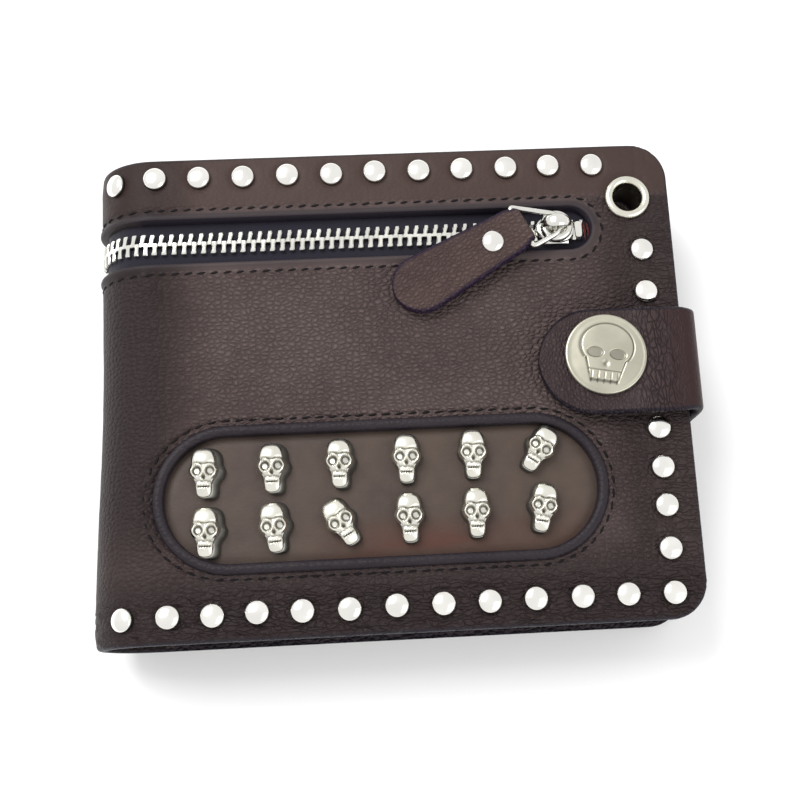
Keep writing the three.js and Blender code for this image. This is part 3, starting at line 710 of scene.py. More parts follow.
# ---- the outer leather ----
WINDOW_HOLE = (WINDOW[0], WINDOW[1], WINDOW_RUN, WINDOW_R + 0.9)
BEAD_OUT = (WINDOW[0], WINDOW[1], WINDOW_RUN, WINDOW_R + BEAD)
EYELET_HOLE = (EYELET[0], EYELET[1], 0, 4.0)
SLOT_SEAM, WINDOW_SEAM = 2.45, 0.95  # how far outside the slot and the bead the stitches lie
front_plan = Wing(FOLD_X - SEAM, RIGHT, -LOW_EDGE, TOP, CORNER, [WINDOW_HOLE, EYELET_HOLE], SLOT_END,
                  seam=True)
back_plan = Wing(FOLD_X, RIGHT, -LOW_EDGE, TOP, CORNER, [], BACK_SLOT_END, seam=True)


def seam_rows(low, high):
    rows = along_line([(0, low), (0, high)], 0.8)[:, 1]
    near = [o for o in RINGS if o < 2]
    inner = rows[(rows > low + 2) & (rows < high - 2)]
    return np.concatenate([[low], [low + o for o in near], inner, [high - o for o in near[::-1]], [high]])


ROWS_LOW = seam_rows(-LOW_EDGE, SLOT_Y - SLOT_R)
ROWS_HIGH = seam_rows(SLOT_Y + SLOT_R, TOP)


def stud_dents(x, y):
    """The leather's dip under the rim of each stud."""
    dent = np.zeros(np.shape(x))
    for sx, sy in ALL_STUDS:
        dent -= 0.28 * bell(np.hypot(x - sx, y - sy), STUD_R, 0.75)
    return dent


def puckers(x, y):
    """Small creases pulled between the studs along the lower and right edges."""
    low = smooth(-y, ROW_Y - 5.5, ROW_Y - 2) * smooth(y, -LOW_EDGE, -LOW_EDGE + 1.5)
    side = 0.7 * smooth(x, STUD_COLUMN_X - 2.5, STUD_COLUMN_X + 1) * (1 - smooth(x, RIGHT - 1.5, RIGHT))
    ridges = 1 - np.abs(2 * fractal(x * 0.28, y * 1.15, 1) - 1)
    upright = 1 - np.abs(2 * fractal(x * 1.0, y * 0.33, 2) - 1)
    return 0.75 * low * (ridges - 0.8) + 0.45 * side * (upright - 0.8)


def skin_top(plan, x, y, front=True):
    """Height of the outer face: rounded edges, the bead round the slot, grooves, dents and puckers."""
    e = plan.outer(x, y)
    h = rounded(e, 0.85)
    h += 0.25 * (smooth(e, 0.6, 4) - 1)
    d = plan.slot_distance(x, y)
    bead = np.clip(1 - ((d - 0.85) / 0.85) ** 2, 0, 1) ** 0.5
    h += np.where(d < 1.7, 0.42 * bead - 0.75 * (1 - smooth(d, 0, 0.5)), 0)
    h -= 0.16 * bell(d, SLOT_SEAM, 0.3)
    if front:
        w = hole_distance(BEAD_OUT, x, y)
        h -= 0.2 * bell(w, WINDOW_SEAM, 0.35)
        h += 0.3 * bell(np.maximum(w - 1.2, 0), 0, 2.2) * smooth(w, 1.0, 1.5)
        h -= 0.5 * (1 - smooth(w, -0.9, 0.4))
        k = np.hypot(x - EYELET[0], y - EYELET[1])
        h -= 0.3 * bell(k, 4.7, 0.9)
        h += puckers(x, y) + 0.1 * (fractal(x * 0.09, y * 0.09, 4) - 0.5)
        h += 0.07 * (fractal(x * 0.5, y * 0.5, 9) - 0.5)
        h += stud_dents(x, y)
    return h


def skin_bottom(plan, x, y):
    return -LEATHER - 0.5 * rounded(plan.outer(x, y), 0.5)


def skin_paint(plan, x, y, front=True):
    """Where the leather is smooth, crinkled or beaded, and where a warm tone and painted shade darken it."""
    d = plan.slot_distance(x, y)
    if not front:
        return {"smooth": 0.15 + 0 * x, "bead": 0.85 * (1 - smooth(d, 1.5, 1.9)), "warm": 0 * x}
    w = hole_distance(BEAD_OUT, x, y)
    band = smooth(y, SLOT_Y + SLOT_R + 1.5, SLOT_Y + SLOT_R + 3.5)
    ragged_x = x + 1.2 * (fractal(x * 0.1, y * 0.1, 7) - 0.5) * 8
    by_fold = 1 - smooth(ragged_x, FOLD_X - 2, FOLD_X + 12)
    near_slot = 1 - smooth(d, 1.9, 2.6)
    crinkled_side = 0.8 * smooth(x, STUD_COLUMN_X - 6, STUD_COLUMN_X + 3) * smooth(-y, -TOP + 6, -TOP + 22)
    crinkle = np.maximum(smooth(-y, ROW_Y - 8, ROW_Y - 2), crinkled_side)
    low_band = 0.5 * smooth(-y, 20, 36) * (1 - smooth(w, 1, 10))
    plain = np.clip(np.maximum.reduce([0.93 * band, 0.7 * by_fold, near_slot, low_band]), 0, 1)
    # painted shade: darker towards the fold, along the bottom and at the right, so the middle looks lit
    far_left = 1 - smooth(x, FOLD_X - 1, FOLD_X + 13)
    low = smooth(-y, 22, ROW_Y - 2)
    right = smooth(x, 34, STUD_COLUMN_X - 3)
    shade = np.maximum.reduce([0.85 * far_left * (1 - 0.4 * low), 0.85 * low,
                               0.72 * right * (1 - 0.8 * band)])
    # the warm tone over the top band and by the fold is painted shade too: darker, with a warmer hue
    return {"shade": shade * (1 - 0.3 * band), "smooth": plain, "crinkle": crinkle * (1 - 0.6 * by_fold),
            "warm": np.clip(0.8 * band + 0.5 * by_fold, 0, 1),
            "bead": (0.5 + 0.35 * (y > SLOT_Y)) * (1 - smooth(d, 1.5, 1.9))}


def skin(name, plan, front, body, nodes):
    """The outer leather of one wing."""
    def place(x, y, h):
        s = x - FOLD_X if front else -HALF_TURN - (x - FOLD_X)
        return on_surface(s, y, h)

    def flat(x, y):
        return np.stack([x if front else -HALF_TURN - x, y], -1)

    shape = plate(Shape(), plan, lambda x, y: skin_top(plan, x, y, front),
                  lambda x, y: skin_bottom(plan, x, y), place, spacing=0.55 if front else 1.2,
                  seam_rows=(ROWS_LOW, ROWS_HIGH), flat=flat,
                  paint=lambda x, y: skin_paint(plan, x, y, front))
    show(shape, name, outer_leather, "leather", body, nodes)


skin("cover_front", front_plan, True, "front_wing", ["front_cover"])
skin("cover_back", back_plan, False, "back_wing", ["back_cover"])


# ---- pieces round the fold, one strip between each two cuts ----
CUTS = [math.degrees(SEAM / R), 45, 90, 135, 180]  # degrees round the fold between the strips
BLENDS = [(14, 36), (50, 85), (95, 130), (140, 175)]  # stretches of each strip, in the same degrees, that blend_fold reads but does not use


def fold_ends(index):
    """Where a strip of the fold starts and ends along s."""
    return [-math.radians(angle) * R for angle in CUTS[index:index + 2]]


def blend_fold(piece, index):
    start, end = (on_surface(-math.radians(a) * R, 0, -LEATHER / 2) * MM for a in BLENDS[index])
    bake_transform(piece)


def shell_grid(shape, s_values, y_values, top, bottom, paint=None, shift=0.0):
    """A closed strip over a grid of flat coordinates."""
    s, y = np.meshgrid(s_values, y_values, indexing="ij")
    s, y = s.ravel(), y.ravel()
    rows, columns = len(s_values), len(y_values)
    n = rows * columns
    faces = []
    for i in range(rows - 1):
        for j in range(columns - 1):
            a = i * columns + j
            quad = (a, a + columns, a + columns + 1, a + 1)
            faces += [quad, tuple(k + n for k in quad[::-1])]
    rim = [i * columns for i in range(rows)] + [(rows - 1) * columns + j for j in range(1, columns)]
    rim += [i * columns + columns - 1 for i in range(rows - 2, -1, -1)] + list(range(columns - 2, 0, -1))
    faces += [(a, b, b + n, a + n) for a, b in zip(rim, rim[1:] + rim[:1])]
    points = np.concatenate([on_surface(s, y, top(s, y)), on_surface(s, y, bottom(s, y))])
    values = {k: np.concatenate([v, v]) for k, v in (paint(s, y) if paint else {}).items()}
    flat = np.stack([np.concatenate([s, s]) + shift, np.concatenate([y, y])], -1)
    return shape.add(points, faces, flat, **values)


def fold_top(s, y):
    return skin_top(front_plan, s + FOLD_X, y)


def fold_bottom(s, y):
    return skin_bottom(front_plan, s + FOLD_X, y)


def fold_paint(s, y):
    rim = 1 - smooth(front_plan.outer(s + FOLD_X, y), 0.1, 0.8)
    return {**skin_paint(front_plan, s + FOLD_X, y), "edge": rim}


for index in range(4):
    s_values = np.linspace(*fold_ends(index), 16 if index else 12)
    shape = Shape()
    for rows in (ROWS_LOW, ROWS_HIGH):
        shell_grid(shape, s_values, rows, fold_top, fold_bottom, fold_paint, FOLD_X)
    piece = shape.build(f"cover_fold_{index + 1}", outer_leather, "leather")
    blend_fold(piece, index)
    if index < 3:
        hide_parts(f"spine_leather_{index + 1}")


# ---- zip: tape and teeth ----
def tape_depth(s):
    """Height of the tape's face below the leather's face, shallower round the fold."""
    return -2.25 + 1.0 * smooth(-s, 0, 8)


TAPE_THICK = 0.45
TOOTH_LIFT = 0.62  # from the tape's face to the middle of a tooth


def tape_top(s, y):
    """The tape's face, with a cord along the teeth and a ribbed weave beside it."""
    d = np.abs(y - SLOT_Y)
    weave = 0.04 * np.sin(s * 2 * math.pi / 0.9) * smooth(d, 1.9, 2.4)
    return tape_depth(s) + 0.3 * bell(d, 1.5, 0.55) + weave


def add_tape(shape, s_values, reach):
    """Both tapes of a stretch of the zip, each reaching this far from the centre line."""
    for side in (-1, 1):
        rows = np.sort(SLOT_Y + side * np.linspace(0.5, reach, 15))
        shell_grid(shape, s_values, rows, tape_top, lambda s, y: tape_depth(s) - TAPE_THICK)
    return shape


def tooth(side, lean):
    """One cast tooth: a wide head at the centre line and a narrower foot on the tape."""
    rows = [(-0.42, 0.55, 0.5), (-0.3, 1.02, 0.86), (0.3, 1.08, 0.95), (0.62, 0.84, 0.9), (1.3, 0.9, 0.9),
            (1.9, 1.08, 0.86), (2.15, 1.0, 0.7), (2.27, 0.66, 0.42)]
    points = []
    for along, width, height in rows:
        c = 0.2
        w, h = width / 2, height / 2
        section = [(-w, -h + c), (-w + c, -h), (w - c, -h), (w, -h + c), (w, h - c), (w - c, h), (-w + c, h),
                   (-w, h - c)]
        for px, pz in section:
            points.append((px + lean * max(along, 0), side * along, pz))
    return np.array(points), rings_to_faces(len(rows), 8, capped=True)


def add_teeth(shape, low, high):
    """Teeth whose place along the zip is from low to high."""
    for k in range(int(math.ceil(low)), int(math.ceil(high))):
        side = 1 if k % 2 else -1
        points, faces = tooth(side, 0.22 if side > 0 else -0.1)
        points = points + np.array([0.06 * (rng.rand() - 0.5), 0, 0.05 * (rng.rand() - 0.5)])
        shape.add(moved(points, surface_frame(k, SLOT_Y, float(tape_depth(k)) + TOOTH_LIFT)), faces)
    return shape


WIDE_TAPE, NARROW_TAPE = SLOT_R + 1.0, SLOT_R + 0.2
LAST_TOOTH_X = 38.9
front_s = np.concatenate([np.linspace(-SEAM, 8, 14), np.arange(10, SLOT_END - FOLD_X + 1.5, 2)])
show(add_tape(Shape(), front_s, WIDE_TAPE), "zip_tape_front", tape_cloth, "zip_tape", "front_wing",
     ["zip_tape_upper", "zip_tape_lower"])
show(add_teeth(Shape(), -SEAM, LAST_TOOTH_X - FOLD_X), "zip_teeth_front", zip_metal, "zip_metal",
     "front_wing", angle=30)
for index in range(4):
    high, low = fold_ends(index)
    piece = add_tape(Shape(), np.linspace(low, high, 13), NARROW_TAPE).build(
        f"zip_tape_fold_{index + 1}", tape_cloth, "zip_tape")
    blend_fold(piece, index)
    if index < 3:
        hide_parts(f"zip_spine_{index + 1}")
    teeth = add_teeth(Shape(), low, high)
    blend_fold(teeth.build(f"zip_teeth_fold_{index + 1}", zip_metal, "zip_metal", angle=30), index)
back_end = -HALF_TURN - (BACK_SLOT_END - FOLD_X)
show(add_tape(Shape(), np.linspace(back_end + 0.4, -HALF_TURN, 16), NARROW_TAPE), "zip_tape_back", tape_cloth,
     "zip_tape", "back_wing", ["zip_back"])
show(add_teeth(Shape(), back_end + 4, -HALF_TURN), "zip_teeth_back", zip_metal, "zip_metal", "back_wing",
     angle=30)


# ---- stitches ----
THREAD = 0.5


def stitch(length):
    """One sunk stitch, a thread that dips into the leather at both ends."""
    t = np.linspace(-1, 1, 7)
    path = np.stack([t * length / 2, 0.05 * np.sin(t * 2), 0.2 * (1 - t ** 2) - 0.16], -1)
    radius = THREAD / 2 * np.sqrt(np.maximum(1 - (0.92 * t) ** 2, 0.12))
    return tube(path, radius, 6, closed=False, squash=0.7)


def add_stitches(shape, line, height, pitch=2.6, length=2.0, place=None):
    """Stitches along a flat line of (x, y); height gives the leather's face there."""
    line = along_line(line, 0.25)
    lengths = run_lengths(line)
    count = int(lengths[-1] / pitch)
    for k in range(count):
        at = (k + 0.5) * lengths[-1] / count
        x, y = (np.interp(at, lengths, line[:, i]) for i in (0, 1))
        x2, y2 = (np.interp(at + 0.1, lengths, line[:, i]) for i in (0, 1))
        if abs(x2 - x) + abs(y2 - y) < 1e-6:
            x2, y2 = x + 0.1, y
        heading = math.atan2(y2 - y, x2 - x) + math.radians(6) + 0.06 * (rng.rand() - 0.5)
        points, faces = stitch(length * (0.94 + 0.12 * rng.rand()))
        points = moved(points, Matrix.Rotation(heading, 4, "Z"))
        where = place(x, y) if place else surface_frame(x - FOLD_X, y)
        points[:, 2] += height(np.array([x]), np.array([y]))[0] + 0.1
        shape.add(moved(points, where), faces)


def cover_height(x, y):
    return skin_top(front_plan, x, y)


def slot_line(offset, start):
    """A line round the zip's slot, this far outside it."""
    end = SLOT_END - SLOT_R
    r = SLOT_R + offset
    return np.concatenate([[(start, SLOT_Y - r), (end, SLOT_Y - r)], arc(end, SLOT_Y, r, -90, 90)[1:-1],
                           [(end, SLOT_Y + r), (start, SLOT_Y + r)]])


seams = Shape()
add_stitches(seams, slot_line(SLOT_SEAM, FOLD_X - SEAM + 0.6), cover_height)
add_stitches(seams, hole_line(BEAD_OUT, WINDOW_SEAM, 0.5), cover_height)
show(seams, "stitches_front", thread, "lining", "front_wing", angle=80)
for index in range(4):
    high, low = fold_ends(index)
    seam = Shape()
    for side in (-1, 1):
        y = SLOT_Y + side * (SLOT_R + SLOT_SEAM)
        add_stitches(seam, [(low + FOLD_X, y), (high + FOLD_X, y)], cover_height)
    blend_fold(seam.build(f"stitches_fold_{index + 1}", thread, "lining", angle=80), index)


# ---- domed studs ----
DOME_RISE = 1.22
TILT, WANDER = 2.5, 0.12  # the most a stud leans, in degrees, and strays, in millimetres


def dome_profile(radius, rise, skirt=0.3):
    """A domed head over a short skirt that sinks into the leather."""
    rows = [(0, -0.5), (radius - 0.25, -0.5), (radius, -0.3), (radius, skirt * 0.4), (radius * 0.985, skirt)]
    for t in np.linspace(0.12, 1, 9):
        a = t * math.pi / 2
        rows.append((radius * 0.985 * math.cos(a) if t < 1 else 0, skirt + (rise - skirt) * math.sin(a)))
    return rows


def random_tilt(axis):
    return Matrix.Rotation(math.radians(rng.uniform(-TILT, TILT)), 4, axis)


def studs(places):
    """One dome at each place, each a little out of true."""
    shape = Shape()
    for x, y in places:
        points, faces = lathe(dome_profile(STUD_R, DOME_RISE))
        tilt = random_tilt("X") @ random_tilt("Y")
        # painted shade: a dark band round the foot of each stud where it meets the leather
        ring = 1 - smooth(points[:, 2], 0.08, 0.34)
        stray = np.array([rng.uniform(-WANDER, WANDER), rng.uniform(-WANDER, WANDER), 0])
        points = moved(moved(points, tilt) + stray, surface_frame(x - FOLD_X, y))
        shape.add(points, faces, dark=ring)
    return shape


for name, places, body, node_name in (("studs_row_top", TOP_STUDS[:11], "front_wing", "studs_top"),
                                      ("studs_row_bottom", BOTTOM_STUDS[:12], "front_wing", "studs_bottom"),
                                      ("studs_column", RIGHT_STUDS, "front_wing", "studs_right"),
                                      ("stud_fold_upper", TOP_STUDS[11:], "spine_high", "fold_stud_top")):
    show(studs(places), name, stud_metal, "stud_metal", body, [node_name], angle=50)
piece = studs(BOTTOM_STUDS[12:]).build("stud_fold_lower", stud_metal, "stud_metal", angle=50)
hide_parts("fold_stud_bottom")
blend_fold(piece, 0)


# ---- window: rolled bead and inset panel ----
def stadium(hole_centre, run, r, n_arc=40, n_run=30):
    """A closed stadium line with the same number of points at every radius."""
    cx, cy = hole_centre
    a = np.radians(np.linspace(-90, 90, n_arc))
    t = np.linspace(0, 1, n_run + 1)[1:-1]
    right = np.stack([cx + run + r * np.cos(a), cy + r * np.sin(a)], -1)
    left = np.stack([cx - run - r * np.cos(a), cy - r * np.sin(a)], -1)
    upper = np.stack([cx + run - 2 * run * t, np.full(len(t), cy + r)], -1)
    lower = np.stack([cx - run + 2 * run * t, np.full(len(t), cy - r)], -1)
    return np.concatenate([right, upper, left, lower])


class StadiumPlan:
    """A plate's plan with two round ends."""

    def __init__(self, cx, cy, run, r):
        self.hole = (cx, cy, run, r)
        self.x0, self.x1, self.y0, self.y1 = cx - run - r, cx + run + r, cy - r, cy + r

    def edge(self, x, y):
        return -hole_distance(self.hole, x, y)

    inside = edge

    def curves(self, o, step):
        return [hole_line(self.hole, -o, step)]

    def loops(self, step, seam_rows=None):
        return [hole_line(self.hole, 0, step)[:-1]]


def build_bead():
    """The rolled leather round the window; its profile is (distance outwards, height)."""
    profile = [(2.0, -1.75), (0.1, -1.75), (-0.02, -1.0)]
    for t in np.linspace(0, math.pi, 15):
        profile.append((BEAD / 2 - BEAD / 2 * math.cos(t) * 1.02, -0.35 + 1.15 * math.sin(t) ** 0.8))
    profile.append((2.22, -1.0))
    rows = []
    for o, z in profile:
        line = stadium(WINDOW[:2], WINDOW_RUN, WINDOW_R + o)
        ripple = 0.05 * (fractal(line[:, 0] * 0.35, line[:, 1] * 0.35, 12) - 0.5)
        rows.append(np.column_stack([line, THICK + z + ripple]))
    shape = Shape().add(np.concatenate(rows), rings_to_faces(len(rows), len(rows[0]), looped=True))
    show(shape, "window_bead_roll", bead_leather, "bead_leather", "front_wing", ["window_bead"], angle=60)


build_bead()
INSET_TOP = box_mm("skull_top_1")[0][2] - 0.1
INSET_THICK = 1.6
inset_plan = StadiumPlan(WINDOW[0], WINDOW[1], WINDOW_RUN, WINDOW_R + 0.6)


def inset_top(x, y):
    e = inset_plan.edge(x, y)
    soft = 0.22 * (fractal(x * 0.07, y * 0.07, 14) - 0.5) + 0.05 * (fractal(x * 0.4, y * 0.4, 15) - 0.5)
    return INSET_TOP + soft * smooth(e, 1, 5) - 0.35 * (1 - smooth(e, 0.4, 2.6))


def inset_paint(x, y):
    low = smooth(-(y - WINDOW[1]), 3, 11) * smooth(x, WINDOW[0] - 22, WINDOW[0] + 2)
    streak = smooth(fractal(x * 0.05, y * 0.35, 16), 0.35, 0.75)
    return {"smooth": 0.6 + 0 * x, "warm": np.clip(0.8 * low * (0.4 + 0.6 * streak), 0, 1)}


def upright(x, y, h):
    """Places a plate flat, its heights along Z."""
    return np.stack([x, y, h], -1)


inset = plate(Shape(), inset_plan, inset_top, lambda x, y: INSET_TOP - INSET_THICK + 0 * x, upright,
              spacing=0.9, paint=inset_paint)
show(inset, "inset_leather_panel", inset_leather, "inset_leather", "front_wing", ["inset_panel"])


# ---- cast skull studs, one plain design of our own ----
# half widths of the outline against the height, both in shares, from the chin up
SKULL_WIDTHS = [(-1.0, 0.0), (-0.99, 0.2), (-0.95, 0.38), (-0.85, 0.5), (-0.65, 0.57), (-0.45, 0.55),
                (-0.32, 0.62), (-0.16, 0.86), (0.0, 0.98), (0.12, 1.0), (0.25, 0.92), (0.38, 0.82),
                (0.55, 0.83), (0.72, 0.77), (0.86, 0.65), (0.94, 0.5), (0.98, 0.34), (0.996, 0.17), (1.0, 0.0)]


def skull_outline(half_w, half_h):
    v, w = np.array(SKULL_WIDTHS).T
    t = np.linspace(0, 1, 45)
    place = 0.5 * (1 - np.cos(math.pi * t))
    along = np.interp(place, np.linspace(0, 1, len(v)), v)
    wide = np.interp(along, v, w)
    right = np.stack([wide * half_w, along * half_h], -1)
    left = np.stack([-wide * half_w, along * half_h], -1)[::-1][1:-1]
    return np.concatenate([right, left])


RELIEF_SIZE = (5.7, 9.5)


def skull_relief(x, y):
    """Relief of a face of RELIEF_SIZE, in shares of its rise, and how dark each point is."""
    ax = np.abs(x)
    eye = np.hypot(ax - 1.25, (y - 0.3) * 0.95)
    socket = 1 - smooth(eye, 0.5, 0.92)
    rim = bell(eye, 1.14, 0.22)
    brow_y = 1.62 + 0.25 * bell(ax, 1.2, 0.8)
    brow = bell(y, brow_y, 0.15) * (1 - smooth(ax, 2.0, 2.4))
    nose = np.exp(-(x / 0.3) ** 2 - ((y + 0.95) / 0.45) ** 2)
    cheek = bell(y, -1.7, 0.2) * (1 - smooth(ax, 1.5, 2.0))
    mouth = bell(y, -2.75, 0.13) * (1 - smooth(ax, 1.1, 1.35))
    gaps = bell(((x / 0.46 + 0.5) % 1 - 0.5) * 0.46, 0, 0.07)
    teeth = gaps * bell(y, -2.75, 0.45) * (1 - smooth(ax, 1.0, 1.3))
    crown = np.exp(-(x / 2.3) ** 2 - ((y - 2.8) / 1.9) ** 2)
    jaw = np.exp(-(x / 1.6) ** 2 - ((y + 2.9) / 0.9) ** 2)
    h = 0.1 * crown + 0.1 * rim - 0.2 * socket - 0.1 * brow - 0.2 * nose - 0.1 * cheek - 0.12 * mouth
    h += 0.05 * jaw - 0.05 * teeth
    hollow = bell(eye, 0.66, 0.2) + 0.25 * (1 - smooth(eye, 0.3, 0.6))
    dark = 0.85 * hollow + 0.75 * brow + 0.9 * nose + 0.6 * cheek + 0.9 * mouth + 0.4 * teeth
    return h, np.clip(dark, 0, 1)


def skull_mesh(width, height, rise, lean):
    """A cast head on the XY plane whose base is pushed sideways by lean under the face."""
    outline = skull_outline(width / 2, height / 2)
    heart = np.array([0.0, 0.1])
    n = len(outline)
    shares = np.concatenate([np.linspace(0.02, 0.86, 26), [0.9, 0.94, 0.97, 0.99, 1.0]])
    rows, darks = [], []
    sx, sy = RELIEF_SIZE[0] / width, RELIEF_SIZE[1] / height
    for t in shares:
        flat = heart + t * (outline - heart)
        relief, dark = skull_relief(flat[:, 0] * sx, flat[:, 1] * sy)
        down = np.clip(-flat[:, 1] / (height / 2), 0, 1)
        dome = (1 - t ** 3.2) ** 0.5 if t < 1 else 0
        z = rise * ((0.6 + 0.3 * dome) * (1 - 0.14 * down) + relief * smooth(1 - t, 0.02, 0.16))
        rows.append(np.column_stack([flat, z]))
        # the hollows' dark is patina; the face's edge and the walls below it are painted dark, antique finish
        # and painted shade together
        darks.append(dark * smooth(1 - t, 0.0, 0.1) + 0.45 * (t > 0.985))
    for drop, grow, push in ((0.5, 1.03, 0.22), (0.38, 1.05, 0.54), (0.2, 1.06, 0.86), (0.0, 1.06, 1.0)):
        flat = heart + grow * (outline - heart) + [push * lean, -0.08 * push]
        rows.append(np.column_stack([flat, np.full(n, rise * drop)]))
        darks.append(np.full(n, 0.82))
    points = np.concatenate([[[heart[0], heart[1], rows[0][:, 2].mean()]], *rows])
    return points, domed_faces(len(rows), n), np.concatenate([[0.3], *darks])


SKULL_TURNS = {"top": [0, 0, 0, 0, 0, -34], "bottom": [0, 4, 28, 0, 0, -10]}  # degrees, from the left
SKULL_SIZE = (5.8, 9.6, 3.3)
for row, turns in SKULL_TURNS.items():
    for k, degrees in enumerate(turns):
        name = f"skull_{row}_{k + 1}"
        spot = centre_mm(name)
        spot[2] = box_mm(name)[0][2]
        turn = (Matrix.Rotation(math.radians(degrees + rng.uniform(-1.5, 1.5)), 4, "Z")
                @ Matrix.Rotation(math.radians(rng.uniform(-2, 2)), 4, "X"))
        lean = 1.2 - 0.3 * k
        points, faces, dark = skull_mesh(*SKULL_SIZE, lean)
        shape = Shape().add(moved(points - [0.4 * lean, 0, 0], turn) + spot, faces, dark=dark)
        show(shape, f"cast_{name}", skull_metal, "skull_metal", "front_wing", [name], angle=50)


# ---- eyelet ----
def turned(name, node_name, profile, spot, material, slot, body, closed=True, dark=None):
    """A piece turned about an upright axis through a spot."""
    points, faces = lathe(profile, 56, closed)
    values = {} if dark is None else {"dark": dark(points)}
    shape = Shape().add(points + np.array([spot[0], spot[1], 0]), faces, **values)
    show(shape, name, material, slot, body, [node_name], angle=40)


def ring_section(inner, outer, low, high):
    """Upper half of a rolled rim between two radii."""
    mid, half = (inner + outer) / 2, (outer - inner) / 2
    turns = np.linspace(0, math.pi, 14)
    return [(mid - half * math.cos(t), low + (high - low) * math.sin(t)) for t in turns]


eyelet_low = box_mm("eyelet")[0][2]
eyelet_profile = ([(3.0, eyelet_low + 0.3)] + ring_section(2.95, 4.7, THICK - 0.05, THICK + 0.8)
                  + [(4.6, THICK - 0.25), (4.0, THICK - 0.25), (3.95, eyelet_low), (3.3, eyelet_low)])
# painted shade: the tube darkens downwards inside the hole
turned("eyelet_tube", "eyelet", eyelet_profile, EYELET, eyelet_metal, "eyelet_metal", "front_wing",
       dark=lambda p: 1 - smooth(p[:, 2], THICK - 6, THICK - 0.4))
washer_z0, washer_z1 = (corner[2] for corner in box_mm("eyelet_washer"))
washer_profile = [(4.35, washer_z0), (6.4, washer_z0), (6.5, washer_z0 + 0.15), (6.2, washer_z1),
                  (4.35, washer_z1)]
turned("eyelet_back_washer", "eyelet_washer", washer_profile, EYELET, eyelet_metal, "eyelet_metal",
       "front_wing")


# ---- snap fastener ----
SNAP_SEAT = box_mm("snap_cap")[1][2] - 1.6
CAP_R = 8.2


def snap_emblem(x, y):
    """Shallow skull relief on the cap, and its dark lines."""
    u, v = x * 0.56, (y - 0.1) * 0.72
    ax = np.abs(u)
    shell = np.hypot(u / 3.0, (v - 1.1) / 3.35)
    jaw = np.maximum(ax / (2.25 - 0.22 * np.maximum(-v - 0.9, 0)), -v / 4.1)
    body = np.where(v > -0.9, shell, jaw)
    inside = 1 - smooth(body, 0.94, 1.0)
    line = bell(body, 1.0, 0.045)
    eye = np.hypot((ax - 1.28) / 1.05, (v + 0.05) / 0.88)
    socket = 1 - smooth(eye, 0.7, 1.0)
    nose = np.exp(-(u / 0.32) ** 2 - ((v + 1.55) / 0.45) ** 2)
    teeth = bell(((u / 0.72 + 0.5) % 1 - 0.5) * 0.72, 0, 0.08) * smooth(-v, 2.6, 2.9) * (ax < 1.7)
    bite = bell(v, -2.55, 0.08) * (ax < 1.9)
    h = 0.2 * inside - 0.14 * line - 0.36 * socket * inside - 0.3 * nose * inside
    h -= 0.14 * (teeth + bite) * inside
    dark = np.clip(0.8 * line + 0.55 * socket + 0.75 * nose + 0.8 * (teeth + bite), 0, 1)
    return h, dark * (body < 1.1)


CAP_FACE_R = 6.9
CAP_RIM = [(7.2, 0.66), (7.45, 0.66), (7.6, 0.7), (7.8, 0.72), (8.0, 0.66), (8.12, 0.52), (8.2, 0.34),
           (8.2, 0.12), (8.0, 0.0), (1.2, 0.0)]  # radius and height over the cap's seat
CAP_TURN = math.radians(-10)
CAP_POST = (1.2, 26.8)


def build_cap():
    """The snap's cap: a low dome with the emblem, a rim, and a short post below."""
    n = 180
    angles = np.linspace(0, 2 * math.pi, n, endpoint=False)
    rows, darks = [], []
    for r in np.linspace(0.06, CAP_FACE_R, 72):
        x, y = r * np.cos(angles), r * np.sin(angles)
        u = x * math.cos(CAP_TURN) + y * math.sin(CAP_TURN)
        v = -x * math.sin(CAP_TURN) + y * math.cos(CAP_TURN)
        relief, dark = snap_emblem(u, v)
        rows.append(np.column_stack([x, y, SNAP_SEAT + (0.68 + 0.32 * (1 - (r / CAP_FACE_R) ** 2) + relief)]))
        darks.append(dark)
    # painted shade: the rim's outer edge is darkened, a contact shadow where the cap meets the strap
    for r, z in [(r, SNAP_SEAT + z) for r, z in CAP_RIM] + [CAP_POST]:
        rows.append(np.column_stack([r * np.cos(angles), r * np.sin(angles), np.full(n, z)]))
        darks.append(np.full(n, 0.75 if r > 8.1 else 0.06))
    darks[-1] = np.zeros(n)
    points = np.concatenate([[[0, 0, rows[0][:, 2].mean()]], *rows])
    points[:, :2] += SNAP[:2]
    shape = Shape().add(points, domed_faces(len(rows), n), dark=np.concatenate([[0], *darks]))
    show(shape, "snap_cap_emblem", snap_metal, "snap_metal", "strap_front", ["snap_cap"], angle=55)


build_cap()
SOCKET_PROFILE = [(2.3, 24.75), (2.6, 24.65), (5.2, 24.65), (5.8, 24.85), (6.0, 25.2), (6.0, 25.9),
                  (2.5, 25.9), (2.3, 25.6)]
BALL_PROFILE = [(0, 24.1), (5.0, 24.1), (5.0, 24.25), (4.6, 24.42), (1.7, 24.45), (1.4, 24.75), (1.75, 25.05),
                (1.9, 25.3), (1.7, 25.6), (1.1, 25.78), (0, 25.8)]
POST_PROFILE = [(0, 21.0), (3.8, 21.0), (4.0, 21.2), (3.8, 21.5), (1.2, 21.5), (1.2, 23.9), (0, 23.9)]
turned("snap_socket_ring", "snap_socket", SOCKET_PROFILE, SNAP, snap_metal, "snap_metal", "strap_front")
turned("snap_ball_stud", "snap_stud", BALL_PROFILE, SNAP, snap_metal, "snap_metal", "front_wing",
       closed=False)
turned("snap_rivet_post", "snap_post", POST_PROFILE, SNAP, snap_metal, "snap_metal", "front_wing",
       closed=False)


